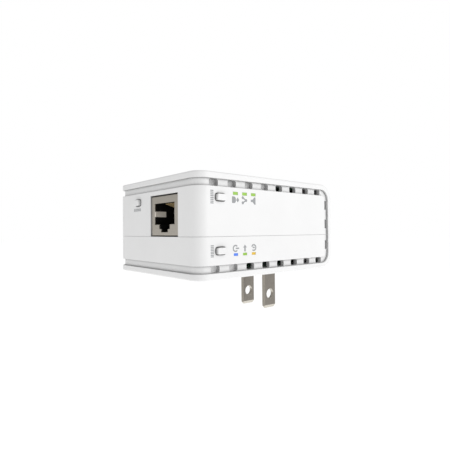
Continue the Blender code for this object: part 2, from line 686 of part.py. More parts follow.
def jack_opening():
    """Outline of the plug opening, with the two steps for the latch."""
    points = []
    steps = ((JACK_OPENING_HALF_WIDTH, JACK_OPENING_TOP), (JACK_OPENING_HALF_WIDTH, JACK_OPENING_BOTTOM),
             (LATCH_STEP_HALF_WIDTH, JACK_OPENING_BOTTOM), (LATCH_STEP_HALF_WIDTH, LATCH_STEP_BOTTOM),
             (LATCH_SLOT_HALF_WIDTH, LATCH_STEP_BOTTOM), (LATCH_SLOT_HALF_WIDTH, LATCH_SLOT_BOTTOM))
    for half_width, z in steps:
        points.append((JACK_Y + half_width, z))
    for half_width, z in reversed(steps):
        points.append((JACK_Y - half_width, z))
    return points


def make_jack(metal, dark, gold):
    """Folded shield, moulded housing and the spring contacts in it."""
    back = SHIELD_FRONT + SHIELD_LENGTH
    shield = box("network_socket_shield", (SHIELD_FRONT, JACK_Y - SHIELD_HALF_WIDTH, SHIELD_BOTTOM),
                 (back, JACK_Y + SHIELD_HALF_WIDTH, SHIELD_TOP))
    hollow = box("hollow", (SHIELD_FRONT + SHIELD_SHEET, JACK_Y - SHIELD_HALF_WIDTH + SHIELD_SHEET,
                            SHIELD_BOTTOM + SHIELD_SHEET),
                 (back + MM, JACK_Y + SHIELD_HALF_WIDTH - SHIELD_SHEET, SHIELD_TOP - SHIELD_SHEET))
    cut(shield, hollow, prism("mouth", jack_opening(), SHIELD_FRONT - MM, SHIELD_FRONT + MM, "X"))
    for side in (-1, 1):
        join(shield, spring_finger(side))
    finish(shield, metal, (SHIELD_FRONT, JACK_Y, SHIELD_BOTTOM))

    inset = SHIELD_SHEET + HOUSING_GAP
    front = SHIELD_FRONT + inset
    cavity_end = front + JACK_CAVITY_DEPTH
    housing = box("network_socket_housing",
                  (front, JACK_Y - SHIELD_HALF_WIDTH + inset, SHIELD_BOTTOM + inset),
                  (back - inset, JACK_Y + SHIELD_HALF_WIDTH - inset, SHIELD_TOP - inset))
    channel_half = CONTACT_PITCH * CONTACT_COUNT / 2 + CHANNEL_SIDE
    channel = box("channel", (front + CHANNEL_START, JACK_Y - channel_half,
                              JACK_OPENING_TOP - CHANNEL_BELOW),
                  (cavity_end + CHANNEL_BACK, JACK_Y + channel_half,
                   JACK_OPENING_TOP + CHANNEL_ABOVE))
    cut(housing, prism("cavity", jack_opening(), front - MM, cavity_end, "X"), channel)
    finish(housing, dark, (front, JACK_Y, SHIELD_BOTTOM))

    path = [(cavity_end + CONTACT_BACK, CONTACT_CEILING)]
    path += [(front + x, CONTACT_CEILING + z) for x, z in CONTACT_PATH]
    for number in range(CONTACT_COUNT):
        y = JACK_Y + (number - (CONTACT_COUNT - 1) / 2) * CONTACT_PITCH
        contact = bent_strip("network_contact_%d" % (number + 1), path, CONTACT_THICKNESS,
                             y - CONTACT_WIDTH / 2, y + CONTACT_WIDTH / 2)
        finish(contact, gold, (front, y, CONTACT_CEILING))


def spring_finger(side):
    """Strip that folds in at one side of the mouth and runs back along the socket's wall."""
    outer = JACK_OPENING_HALF_WIDTH - FINGER_INSET
    inner = outer - FINGER_SHEET
    root = outer + SHIELD_SHEET
    end = SHIELD_FRONT + FINGER_LENGTH
    fold = SHIELD_FRONT + FINGER_SHEET
    path = ((SHIELD_FRONT, root), (SHIELD_FRONT, inner), (end, inner),
            (end, outer), (fold, outer), (fold, root))
    outline = [(x, JACK_Y + side * y) for x, y in path]
    return prism("finger", outline, FINGER_LOW, FINGER_HIGH)


def bent_strip(name, path, thickness, low, high):
    """Sheet strip that follows a path in the XZ plane, between two Y values."""
    left, right = [], []
    points = [Vector(point) for point in path]
    for index, point in enumerate(points):
        before = (point - points[index - 1]).normalized() if index else None
        after = (points[index + 1] - point).normalized() if index < len(points) - 1 else None
        normals = [Vector((-way.y, way.x)) for way in (before, after) if way]
        mitre = sum(normals, Vector((0, 0))).normalized()
        reach = thickness / 2 / mitre.dot(normals[0])
        left.append(tuple(point + mitre * reach))
        right.append(tuple(point - mitre * reach))
    return prism(name, left + right[::-1], low, high, "Y")


# ---------------------------------------------------------------- plug

def tip_wedge(side, y):
    """Cutter that slants one broad face of a blade towards its tip."""
    slope = (BLADE_THICKNESS - BLADE_TIP_THICKNESS) / 2 / BLADE_TIP
    low, high = -BLADE_LENGTH - MM, -BLADE_LENGTH + BLADE_TIP + MM
    slant_low = y + side * (BLADE_TIP_THICKNESS / 2 - slope * MM)
    slant_high = y + side * (BLADE_THICKNESS / 2 + slope * MM)
    outline = ((slant_low, low), (slant_high, high), (y + side * BLADE_THICKNESS, low))
    return prism("wedge", outline, -BLADE_WIDTH, BLADE_WIDTH, "X")


def make_blades(metal):
    """The two plug blades: chamfered tip, detent hole, solder tab."""
    half = BLADE_WIDTH / 2
    tip = -BLADE_LENGTH
    right_side = ((BLADE_TIP_WIDTH / 2, tip), (half, tip + BLADE_CORNER), (half, BLADE_SHOULDER),
                  (BLADE_TAB_WIDTH / 2, BLADE_SHOULDER), (BLADE_TAB_WIDTH / 2, BLADE_TAB_TOP))
    outline = right_side + tuple((-x, z) for x, z in reversed(right_side))
    for name, side in (("front", -1), ("back", 1)):
        y = side * BLADE_SPACING / 2
        blade = prism("plug_blade_" + name, outline, y - BLADE_THICKNESS / 2, y + BLADE_THICKNESS / 2, "Y")
        hole = cylinder("hole", (0, -BLADE_HOLE_FROM_WALL), BLADE_HOLE_RADIUS, y - MM, y + MM, "Y", 20)
        cut(blade, hole, tip_wedge(-1, y), tip_wedge(1, y))
        finish(blade, metal, (0, y, 0))


def make_carrier(surface):
    """Moulded plate inside the wall-side shell that the blades pass through."""
    carrier = box("blade_carrier", (*CARRIER_LOW, WALL + CARRIER_GAP),
                  (*CARRIER_HIGH, POWER_BOARD_BOTTOM - CARRIER_GAP))
    half_x = BLADE_WIDTH / 2 + BLADE_SLOT_GAP
    half_y = BLADE_THICKNESS / 2 + BLADE_SLOT_GAP
    for side in (-1, 1):
        y = side * BLADE_SPACING / 2
        cut(carrier, box("slot", (-half_x, y - half_y, 0), (half_x, y + half_y, POWER_BOARD_TOP)))
    finish(carrier, surface, (0, 0, WALL))


# ---------------------------------------------------------------- boards and what they carry

def make_board(name, bottom, top, surface, tab_slots):
    """Circuit board, notched round the case's screw posts."""
    board = box(name, (BOARD_LEFT, BOARD_FRONT, bottom), (BOARD_RIGHT, BOARD_BACK, top))
    for x, y in SCREWS:
        edge = FRONT if y < 0 else BACK
        low_y, high_y = sorted((edge, y + (BOARD_NOTCH if y < 0 else -BOARD_NOTCH)))
        near_left = x < LEFT + 2 * FAR
        low_x = LEFT if near_left else x - BOARD_NOTCH
        cut(board, box("notch", (low_x, low_y, bottom - MM), (x + BOARD_NOTCH, high_y, top + MM)))
    if tab_slots:
        half_x = BLADE_TAB_WIDTH / 2 + BLADE_SLOT_GAP
        half_y = BLADE_THICKNESS / 2 + BLADE_SLOT_GAP
        for side in (-1, 1):
            y = side * BLADE_SPACING / 2
            cut(board, box("tab_slot", (-half_x, y - half_y, bottom - MM), (half_x, y + half_y, top + MM)))
    finish(board, surface, (BOARD_LEFT, BOARD_FRONT, bottom))


def component(name, place, bottom, surface):
    """Block on a board: its low corner and size are given, its bottom level too."""
    (x, y), size = place
    block = box(name, (x, y, bottom), (x + size[0], y + size[1], bottom + size[2]))
    return finish(block, surface, (x, y, bottom))


def make_transformer(base, tape, ferrite):
    """Flyback transformer: a taped winding round the middle limb of a ferrite core."""
    (left, front), size = BOBBIN
    right, back, top = left + size[0], front + size[1], base + size[2]
    middle = ((left + right) / 2, base + size[2] / 2)
    half = CORE_LIMB / 2
    window_half = half + CORE_GAP
    winding = box("transformer_winding", (left, front, base), (right, back, top))
    cut(winding, box("core_window", (middle[0] - window_half, front - MM, middle[1] - window_half),
                     (middle[0] + window_half, back + MM, middle[1] + window_half)))
    finish(winding, tape, (left, front, base))

    yoke_reach = CORE_YOKE + CORE_GAP
    core = box("transformer_core", (middle[0] - half, front - yoke_reach, middle[1] - half),
               (middle[0] + half, back + yoke_reach, middle[1] + half))
    low_x, high_x = left + CORE_SIDE_INSET, right - CORE_SIDE_INSET
    limb_low = top + CORE_GAP
    limb_high = limb_low + CORE_TOP_LIMB
    for low_y in (front - yoke_reach, back + CORE_GAP):
        join(core, box("yoke", (low_x, low_y, base + CORE_GAP),
                       (high_x, low_y + CORE_YOKE, limb_high - MM)))
    join(core, box("top_limb", (low_x, front - yoke_reach, limb_low),
                   (high_x, back + yoke_reach, limb_high)))
    finish(core, ferrite, (left, front, base))


def make_power_parts(surfaces):
    """Mains side: filter, rectifier, storage, flyback transformer, line coupling."""
    base = POWER_BOARD_TOP + SEAT
    make_transformer(base, surfaces["tape"], surfaces["ferrite"])

    level = base + STORAGE_CAPACITOR_RADIUS
    start, end = STORAGE_CAPACITOR_ENDS
    storage = cylinder("storage_capacitor", (STORAGE_CAPACITOR_Y, level), STORAGE_CAPACITOR_RADIUS,
                       start, end, "X", 24)
    finish(soften(storage, 0.5 * MM), surfaces["sleeve"], (start, STORAGE_CAPACITOR_Y, level))
    output = cylinder("output_capacitor", OUTPUT_CAPACITOR_PLACE, OUTPUT_CAPACITOR_RADIUS,
                      base, base + OUTPUT_CAPACITOR_HEIGHT, steps=20)
    finish(soften(output, 0.4 * MM), surfaces["sleeve"], (*OUTPUT_CAPACITOR_PLACE, base))

    filter_block = component("suppression_capacitor", SUPPRESSION_CAPACITOR, base, surfaces["yellow"])
    soften(filter_block, 0.5 * MM)
    level = base + FUSE_RADIUS + PART_LIFT
    fuse = cylinder("fuse", (FUSE_Y, level), FUSE_RADIUS, *FUSE_ENDS, "X")
    finish(soften(fuse, 0.3 * MM), surfaces["ceramic"], (FUSE_ENDS[0], FUSE_Y, level))
    level = base + VARISTOR_RADIUS + PART_LIFT
    varistor = cylinder("varistor", (VARISTOR_X, level), VARISTOR_RADIUS, *VARISTOR_FACES, "Y", 20)
    finish(soften(varistor, 0.8 * MM), surfaces["blue"], (VARISTOR_X, VARISTOR_FACES[0], level))
    component("bridge_rectifier", BRIDGE_RECTIFIER, base, surfaces["black"])
    soften(component("line_coupling_transformer", LINE_COUPLER, base, surfaces["ferrite"]), 0.4 * MM)
    centre = (*CHOKE_PLACE, base + CHOKE_RADIUS + CHOKE_THICKNESS + PART_LIFT)
    finish(ring_choke("filter_choke", centre, CHOKE_RADIUS, CHOKE_THICKNESS), surfaces["copper"], centre)
    component("board_link", BOARD_LINK, base, surfaces["black"])


def ring_choke(name, centre, radius, thickness):
    """Wound ring choke standing on its edge, its axis along Y."""
    builder = bmesh.new()
    rings = []
    around, section = 20, 8
    for turn in range(around):
        angle = 2 * math.pi * turn / around
        ring = []
        for step in range(section):
            slant = 2 * math.pi * step / section
            reach = radius + thickness * math.cos(slant)
            ring.append(builder.verts.new((centre[0] + reach * math.cos(angle),
                                           centre[1] + thickness * CHOKE_WIDENING * math.sin(slant),
                                           centre[2] + reach * math.sin(angle))))
        rings.append(ring)
    for turn in range(around):
        here, there = rings[turn], rings[(turn + 1) % around]
        for step in range(section):
            follower = (step + 1) % section
            builder.faces.new((here[step], here[follower], there[follower], there[step]))
    return object_from(name, builder)


def make_radio_parts(surfaces):
    """Signal side, hung under the room-side board: chips, heat sink, antennas."""
    roof = RADIO_BOARD_BOTTOM - SEAT
    hung = (("network_transformer", NETWORK_TRANSFORMER), ("radio_chip", RADIO_CHIP),
            ("powerline_chip", POWERLINE_CHIP))
    for name, place in hung:
        component(name, place, roof - place[1][2], surfaces["black"])

    plate_top = roof - RADIO_CHIP[1][2] - SEAT
    sink = box("heat_sink", (*SINK_LOW, plate_top - SINK_PLATE), (*SINK_HIGH, plate_top))
    for number in range(FIN_COUNT):
        x = FIN_FIRST + number * FIN_PITCH
        join(sink, box("fin", (x, SINK_LOW[1] + FIN_INSET, plate_top - FIN_REACH),
                       (x + FIN_THICKNESS, SINK_HIGH[1] - FIN_INSET, plate_top - SINK_PLATE / 2)))
    finish(sink, surfaces["aluminium"], (*SINK_LOW, plate_top))

    left, right = ANTENNA_X
    for name, low_y in (("front", ANTENNA_FRONT_Y), ("back", ANTENNA_BACK_Y)):
        antenna = box("antenna_" + name, (left, low_y, roof - ANTENNA_LEVELS[0]),
                      (right, low_y + ANTENNA_WIDTH, roof - ANTENNA_LEVELS[1]))
        for leg_low, leg_high in ANTENNA_LEGS:
            join(antenna, box("leg", (left, low_y + leg_low, roof - ANTENNA_WELD),
                              (right, low_y + leg_high, roof)))
        finish(antenna, surfaces["brass"], (left, low_y, roof))


# ---------------------------------------------------------------- assembly

def clear_scene():
    """Start from an empty scene."""
    for leftover in list(bpy.data.objects):
        bpy.data.objects.remove(leftover, do_unlink=True)


def main():
    clear_scene()
    root = bpy.data.objects.new("powerline_adapter", None)
    bpy.context.scene.collection.objects.link(root)

    white = material("case_plastic", WHITE_PLASTIC, 0.4)
    black = material("black_plastic", (0.02, 0.02, 0.02), 0.5)
    steel = material("screw_steel", (0.55, 0.55, 0.56), 0.35, 1.0)
    surfaces = {
        "black": black,
        "tape": material("winding_tape", (0.85, 0.65, 0.10), 0.5),
        "ferrite": material("ferrite", (0.06, 0.06, 0.065), 0.6),
        "sleeve": material("capacitor_sleeve", (0.05, 0.09, 0.22), 0.4),
        "yellow": material("yellow_plastic", (0.85, 0.62, 0.08), 0.45),
        "ceramic": material("fuse_ceramic", (0.85, 0.83, 0.78), 0.5),
        "blue": material("varistor_coating", (0.05, 0.18, 0.55), 0.45),
        "copper": material("enamelled_copper", (0.72, 0.33, 0.14), 0.35, 1.0),
        "aluminium": material("aluminium", (0.75, 0.75, 0.77), 0.35, 1.0),
        "brass": material("antenna_brass", (0.75, 0.62, 0.32), 0.35, 1.0),
    }

    make_upper_shell(white)
    make_lower_shell(white)
    make_screws(steel)
    make_label(material("label_film", (0.72, 0.73, 0.74), 0.5))

    make_button("mode", FRONT_BUTTON_X, MODE_Z, "Y", white, black)
    make_button("sync", FRONT_BUTTON_X, SYNC_Z, "Y", white, black)
    make_button("reset", RESET_Y, RESET_Z, "X", white, black)

    lamp = material("lamp_resin", (0.88, 0.87, 0.80), 0.3)
    green, blue, amber = ("green", GREEN_LIGHT), ("blue", BLUE_LIGHT), ("amber", AMBER_LIGHT)
    upper_base = RADIO_BOARD_BOTTOM - SEAT - LAMP_SIZE[2]
    make_indicators("upper", UPPER_PIPE_Z, UPPER_PIPE_SIZE, upper_base, (green, green, green), lamp)
    lower_base = POWER_BOARD_TOP + SEAT
    make_indicators("lower", LOWER_PIPE_Z, LOWER_PIPE_SIZE, lower_base, (blue, green, amber), lamp)

    make_jack(material("shield_metal", SHIELD_METAL, 0.4, 1.0), black,
              material("contact_gold", (0.83, 0.62, 0.25), 0.25, 1.0))
    make_blades(material("blade_metal", BLADE_METAL, 0.35, 1.0))
    make_carrier(black)

    board = material("board_laminate", (0.03, 0.22, 0.08), 0.5)
    make_board("power_board", POWER_BOARD_BOTTOM, POWER_BOARD_TOP, board, True)
    make_board("radio_board", RADIO_BOARD_BOTTOM, RADIO_BOARD_TOP, board, False)
    make_power_parts(surfaces)
    make_radio_parts(surfaces)


main()
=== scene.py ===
"""Looks of the plug-in powerline adapter: fine shells, socket, blades, prints and materials."""
import math

import bmesh
import bpy
from mathutils import Matrix, Vector


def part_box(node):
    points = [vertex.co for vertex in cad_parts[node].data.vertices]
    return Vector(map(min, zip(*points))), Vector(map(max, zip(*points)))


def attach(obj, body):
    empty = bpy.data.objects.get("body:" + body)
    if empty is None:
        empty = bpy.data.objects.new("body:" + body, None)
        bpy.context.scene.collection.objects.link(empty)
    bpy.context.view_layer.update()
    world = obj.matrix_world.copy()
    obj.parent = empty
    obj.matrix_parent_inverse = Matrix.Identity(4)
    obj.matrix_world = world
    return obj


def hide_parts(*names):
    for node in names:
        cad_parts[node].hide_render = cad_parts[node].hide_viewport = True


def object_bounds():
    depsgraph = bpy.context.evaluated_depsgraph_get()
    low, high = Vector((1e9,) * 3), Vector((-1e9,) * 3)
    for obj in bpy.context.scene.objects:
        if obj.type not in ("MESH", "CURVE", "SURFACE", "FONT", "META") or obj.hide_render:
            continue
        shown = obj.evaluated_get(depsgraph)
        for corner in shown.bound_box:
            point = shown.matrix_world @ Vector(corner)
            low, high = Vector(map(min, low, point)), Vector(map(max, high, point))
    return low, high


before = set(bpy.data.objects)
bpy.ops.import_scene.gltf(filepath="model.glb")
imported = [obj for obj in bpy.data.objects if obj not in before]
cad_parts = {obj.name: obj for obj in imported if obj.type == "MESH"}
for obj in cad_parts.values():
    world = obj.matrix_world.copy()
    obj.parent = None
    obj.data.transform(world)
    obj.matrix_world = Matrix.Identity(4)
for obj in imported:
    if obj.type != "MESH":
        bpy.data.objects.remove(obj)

cad_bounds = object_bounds()
MM = 0.001
FAR = 5 * MM
CLOSE = 0.01 * MM
SCENE = bpy.context.scene


# ---------------------------------------------------------------- sizes from the frame

def span(*nodes):
    """Lowest and highest corner of several CAD nodes together."""
    boxes = [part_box(node) for node in nodes]
    low = Vector([min(box[0][axis] for box in boxes) for axis in range(3)])
    high = Vector([max(box[1][axis] for box in boxes) for axis in range(3)])
    return low, high


def middle(node):
    """Centre of a CAD node's box."""
    low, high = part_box(node)
    return (low + high) / 2


CASE_LOW, CASE_HIGH = span("upper_shell", "lower_shell")
LEFT, FRONT = CASE_LOW.x, CASE_LOW.y
RIGHT, BACK, TOP = CASE_HIGH
LIP_RISE = 1.1 * MM
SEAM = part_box("lower_shell")[1].z - LIP_RISE
SEAM_GAP = 0.06 * MM
SEAM_CHAMFER = 0.05 * MM

# Case: walls, corners and the groove that frames the front and the back
WALL = 2.2 * MM
CORNER_RADIUS = 4.0 * MM
END_RADIUS = 6.0 * MM
EDGE_RADIUS = 0.6 * MM
RIM = 2.0 * MM
GROOVE_WIDTH = 2.27 * MM
GROOVE_DEPTH = 0.8 * MM
GROOVE_LIP = 0.14 * MM
HOLE_LIP = 0.1 * MM
ARC_STEPS = 16

# Vent slots
SLOT_LENGTH = 3.4 * MM
SLOT_HEIGHT = 2.12 * MM
SLOT_RADIUS = 0.6 * MM
SLOT_REACH = WALL + 0.1 * MM
SLOT_FIRST_UPPER = LEFT + 6.6 * MM
SLOT_FIRST_LOWER = LEFT + 7.0 * MM
SLOT_PITCH = 7.155 * MM
SLOT_COUNT = 8
END_SLOT_LEVELS = (24.0 * MM, 16.8 * MM, 8.8 * MM)
UPPER_GROOVE = TOP - RIM - GROOVE_WIDTH / 2
LOWER_GROOVE = RIM + GROOVE_WIDTH / 2
END_GROOVE = RIGHT - RIM - GROOVE_WIDTH / 2

# Ribs behind the blind slots
RIB_START = LEFT + 4.5 * MM
RIB_END_UPPER = LEFT + 31.0 * MM
RIB_END_LOWER = LEFT + 17.0 * MM
RIB_BACK = FRONT + 3.4 * MM
RIB_TOP_LOWER = 5.4 * MM
RIB_BELOW_BOARD_TOP = 0.8 * MM
ROW_PAINT_START = LEFT + CORNER_RADIUS + 0.2 * MM

# Lip of the lower shell, as insets from the case's outside
LIP_FOOT_INSET = WALL - 0.3 * MM
LIP_INSET = WALL + 0.25 * MM
LIP_INNER_INSET = WALL + 1.25 * MM
LIP_BASE = SEAM - 1.9 * MM
LIP_STEP = SEAM - 0.4 * MM
LIP_WELD = 0.5 * MM
LIP_OUTER_RADIUS = 1.6 * MM
LIP_INNER_RADIUS = 1.0 * MM

# Buttons and indicators
FLANGE_MARGIN = 0.65 * MM
FLANGE_THICKNESS = 0.8 * MM
FLANGE_GAP = 0.2 * MM
FLANGE_WELD = 0.3 * MM
BUTTON_CLEARANCE = 0.22 * MM
BUTTON_RADIUS = 0.6 * MM
BUTTON_FILLET = 0.28 * MM
STEM_RADIUS = 0.9 * MM
PIPE_COLLAR = 0.3 * MM
PIPE_COLLAR_LOW = FRONT + WALL + 0.2 * MM
PIPE_COLLAR_HIGH = FRONT + WALL + MM
PIPE_CLEARANCE = 0.02 * MM
PIPE_NUMBERS = (1, 2, 3)

# Prints on the case: how far the icons are from their windows, and the marks from their buttons
PRINT_DEPTH = 0.02 * MM
ICON_DROP_UPPER = -1.97 * MM
ICON_DROP_LOWER = 1.87 * MM
MARK_OFFSET = 3.2 * MM
MARK_ACROSS = 1.15 * MM
MARK_LENGTHS = {"mode": 4.2 * MM, "sync": 3.7 * MM}
RESET_MARK_OFFSET = (0.65 * MM, -2.45 * MM)
RESET_MARK_LENGTH = 5.2 * MM
RESET_MARK_ACROSS = 1.0 * MM


# ---------------------------------------------------------------- outlines and solids

def arc(centre, radius, start, end, steps):
    """Points on an arc; the angles are in degrees and both ends are included."""
    points = []
    for step in range(steps + 1):
        angle = math.radians(start + (end - start) * step / steps)
        points.append((centre[0] + radius * math.cos(angle), centre[1] + radius * math.sin(angle)))
    return points


def circle(centre, radius, steps):
    """Points of a closed circle, the first one not repeated."""
    return arc(centre, radius, 0, 360, steps)[:-1]


def rounded_rectangle(low, high, radii, steps=ARC_STEPS):
    """Rectangle outline; the radii go anticlockwise from the low corner."""
    corners = ((low[0], low[1], 1, 1, 180), (high[0], low[1], -1, 1, 270),
               (high[0], high[1], -1, -1, 0), (low[0], high[1], 1, -1, 90))
    points = []
    for (x, y, side_x, side_y, start), radius in zip(corners, radii):
        if radius == 0:
            points.append((x, y))
        else:
            centre = (x + side_x * radius, y + side_y * radius)
            points += arc(centre, radius, start, start + 90, steps)
    return points


def block_outline(centre, width, height, radius=0, steps=4):
    """Rounded rectangle about a centre."""
    low = (centre[0] - width / 2, centre[1] - height / 2)
    high = (centre[0] + width / 2, centre[1] + height / 2)
    return rounded_rectangle(low, high, (radius,) * 4, steps)


def placed(axis, flat, height):
    """Point in space for a flat point on the plane across an axis."""
    if axis == "X":
        return (height, flat[0], flat[1])
    if axis == "Y":
        return (flat[0], height, flat[1])
    return (flat[0], flat[1], height)


def object_from(name, builder):
    """Linked object with the builder's faces, all facing out."""
    bmesh.ops.recalc_face_normals(builder, faces=builder.faces[:])
    mesh = bpy.data.meshes.new(name)
    builder.to_mesh(mesh)
    builder.free()
    piece = bpy.data.objects.new(name, mesh)
    SCENE.collection.objects.link(piece)
    return piece


def add_prism(builder, outline, low, high, axis):
    """Add a closed solid: an outline carried from low to high along an axis."""
    start = [builder.verts.new(placed(axis, point, low)) for point in outline]
    end = [builder.verts.new(placed(axis, point, high)) for point in outline]
    builder.faces.new(start)
    builder.faces.new(end)
    for index in range(len(outline)):
        follower = (index + 1) % len(outline)
        builder.faces.new((start[index], start[follower], end[follower], end[index]))


def prisms(name, outlines, low, high, axis="Z"):
    """Separate prisms in one mesh."""
    builder = bmesh.new()
    for outline in outlines:
        add_prism(builder, outline, low, high, axis)
    return object_from(name, builder)


def prism(name, outline, low, high, axis="Z"):
    """Closed solid made from one outline."""
    return prisms(name, [outline], low, high, axis)


def box(name, low, high):
    """Axis-aligned block between two corners."""
    return prism(name, rounded_rectangle(low[:2], high[:2], (0, 0, 0, 0)), low[2], high[2])


def cylinder(name, centre, radius, low, high, axis="Z", steps=32):
    """Round bar along an axis."""
    return prism(name, circle(centre, radius, steps), low, high, axis)


def lathe(name, centre, profile, steps=48):
    """Solid turned about a vertical axis; the profile is (radius, height) pairs from end to end."""
    builder = bmesh.new()
    rings = []
    for radius, height in profile:
        rings.append([builder.verts.new((x, y, height)) for x, y in circle(centre, radius, steps)])
    builder.faces.new(rings[0])
    builder.faces.new(rings[-1])
    for lower, upper in zip(rings, rings[1:]):
        for index in range(steps):
            follower = (index + 1) % steps
            builder.faces.new((lower[index], lower[follower], upper[follower], upper[index]))
    return object_from(name, builder)


def remove(piece):
    """Delete an object together with its mesh."""
    mesh = piece.data
    bpy.data.objects.remove(piece, do_unlink=True)
    bpy.data.meshes.remove(mesh)


def bake(piece):
    """Turn what the modifiers make into the object's own mesh."""
    graph = bpy.context.evaluated_depsgraph_get()
    mesh = bpy.data.meshes.new_from_object(piece.evaluated_get(graph))
    worn = piece.data
    piece.modifiers.clear()
    piece.data = mesh
    bpy.data.meshes.remove(worn)


def combine(piece, tools, operation):
    """Boolean each tool into the piece, then remove the tools."""
    for tool in tools:
        modifier = piece.modifiers.new(operation, "BOOLEAN")
        modifier.operation = operation
        modifier.solver = "EXACT"
        modifier.object = tool
    bake(piece)
    for tool in tools:
        remove(tool)
    return piece


def cut(piece, *tools):
    """Take the tools away from the piece."""
    return combine(piece, tools, "DIFFERENCE")


def join(piece, *tools):
    """Weld the tools onto the piece."""
    return combine(piece, tools, "UNION")


def soften(piece, width, segments=3, limit=40):
    """Round the edges that are sharper than the limit, in degrees."""
    modifier = piece.modifiers.new("soften", "BEVEL")
    modifier.width = width
    modifier.segments = segments
    modifier.limit_method = "ANGLE"
    modifier.angle_limit = math.radians(limit)
    bake(piece)
    return piece


def round_edges(piece, chosen, width, segments=3):
    """Round the sharp edges whose two ends both pass the test."""
    builder = bmesh.new()
    builder.from_mesh(piece.data)
    sharp = math.radians(50)
    edges = [edge for edge in builder.edges
             if len(edge.link_faces) == 2 and edge.calc_face_angle() > sharp
             and chosen(edge.verts[0].co) and chosen(edge.verts[1].co)]
    bmesh.ops.bevel(builder, geom=edges, offset=width, offset_type="OFFSET", segments=segments,
                    profile=0.5, affect="EDGES", clamp_overlap=False)
    builder.to_mesh(piece.data)
    builder.free()
    return piece


def place(piece, finish, body, slot, *nodes):
    """Give a finished piece its material and shading, and let it ride in the place of CAD nodes."""
    piece.data.materials.clear()
    piece.data.materials.append(finish)
    piece.data.shade_smooth()
    piece.data.set_sharp_from_angle(angle=math.radians(33))
    weighted = piece.modifiers.new("weighted", "WEIGHTED_NORMAL")
    weighted.keep_sharp = True
    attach(piece, body)
    if nodes:
        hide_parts(*nodes)
    return piece


# ---------------------------------------------------------------- materials

# How far the painted crevice shade looks for nearby surfaces.
PAINTED_SHADE_REACH = 2.4 * MM


class Finish:
    """A Principled material under construction, with its texture coordinates in the row frame."""

    def __init__(self, name, colour, roughness, metallic=0.0):
        self.material = bpy.data.materials.new(name)
        self.material.use_nodes = True
        self.nodes = self.material.node_tree.nodes
        self.links = self.material.node_tree.links
        self.shader = self.nodes["Principled BSDF"]
        self.shader.inputs["Base Color"].default_value = (*colour, 1)
        self.shader.inputs["Roughness"].default_value = roughness
        self.shader.inputs["Metallic"].default_value = metallic
        self.place = self.nodes.new("ShaderNodeTexCoord").outputs["Object"]

    def stretched(self, scale):
        """Coordinates scaled by one factor along each axis."""
        mapping = self.nodes.new("ShaderNodeMapping")
        mapping.inputs["Scale"].default_value = scale
        self.links.new(self.place, mapping.inputs["Vector"])
        return mapping.outputs["Vector"]

    def noise(self, scale, detail=3.0, along=(1, 1, 1)):
        """Noise value, its scale in cells per metre."""
        noise = self.nodes.new("ShaderNodeTexNoise")
        noise.inputs["Scale"].default_value = scale
        noise.inputs["Detail"].default_value = detail
        self.links.new(self.stretched(along), noise.inputs["Vector"])
        return noise.outputs["Fac"]

    def ramp(self, value, *stops):
        """Colour ramp through (position, colour) stops."""
        ramp = self.nodes.new("ShaderNodeValToRGB")
        elements = ramp.color_ramp.elements
        while len(elements) < len(stops):
            elements.new(0.5)
        for element, (position, colour) in zip(elements, stops):
            element.position = position
            element.color = (*colour, 1)
        self.links.new(value, ramp.inputs["Fac"])
        return ramp.outputs["Color"]

    def band(self, value, low, high):
        """Value remapped so that noise between 0.3 and 0.7 gives low to high."""
        band = self.nodes.new("ShaderNodeMapRange")
        band.inputs["From Min"].default_value = 0.3
        band.inputs["From Max"].default_value = 0.7
        band.inputs["To Min"].default_value = low
        band.inputs["To Max"].default_value = high
        self.links.new(value, band.inputs["Value"])
        return band.outputs["Result"]

    def colour(self, output):
        """Let an output drive the base colour."""
        self.links.new(output, self.shader.inputs["Base Color"])
        return self

    def painted_crevice_shade(self, output, shade, reach):
        """Colour with painted shade: darkened towards the shade factor in the gaps narrower than the
        reach, in metres.
        """
        gap = self.nodes.new("ShaderNodeAmbientOcclusion")
        gap.inputs["Distance"].default_value = reach
        gap.samples = 12
        openness = self.nodes.new("ShaderNodeMapRange")
        openness.inputs["From Min"].default_value = 0.35
        openness.inputs["From Max"].default_value = 0.85
        openness.inputs["To Min"].default_value = shade
        self.links.new(gap.outputs["AO"], openness.inputs["Value"])
        dimmed = self.nodes.new("ShaderNodeVectorMath")
        dimmed.operation = "SCALE"
        self.links.new(output, dimmed.inputs[0])
        self.links.new(openness.outputs["Result"], dimmed.inputs["Scale"])
        return dimmed.outputs["Vector"]

    def roughness(self, output):
        """Let an output drive the roughness."""
        self.links.new(output, self.shader.inputs["Roughness"])
        return self

    def bump(self, height, distance, strength=1.0):
        """Raise the surface by a height output; the distance is in metres."""
        bump = self.nodes.new("ShaderNodeBump")
        bump.inputs["Strength"].default_value = strength
        bump.inputs["Distance"].default_value = distance
        self.links.new(height, bump.inputs["Height"])
        self.links.new(bump.outputs["Normal"], self.shader.inputs["Normal"])
        return self

    def glow(self, colour, strength):
        """Let the surface shine by itself."""
        self.shader.inputs["Emission Color"].default_value = (*colour, 1)
        self.shader.inputs["Emission Strength"].default_value = strength
        return self


def scaled(colour, factor):
    """The colour made darker or lighter."""
    return tuple(min(1.0, channel * factor) for channel in colour)


def moulded(name, colour, roughness, grain=5000, relief=0.003 * MM, shade=0.28, glow=0.0):
    """Moulded plastic: faint flow mottling, fine spark-eroded grain, painted shade in crevices and an
    optional painted glow.
    """
    finish = Finish(name, colour, roughness)
    flow = finish.noise(90, 2.0)
    tone = finish.ramp(flow, (0.3, scaled(colour, 0.985)), (0.7, scaled(colour, 1.01)))
    finish.colour(finish.painted_crevice_shade(tone, shade, PAINTED_SHADE_REACH))
    finish.roughness(finish.band(finish.noise(700), roughness - 0.04, roughness + 0.05))
    if glow:
        finish.glow(colour, glow)
    return finish.bump(finish.noise(grain, 2.0), relief).material


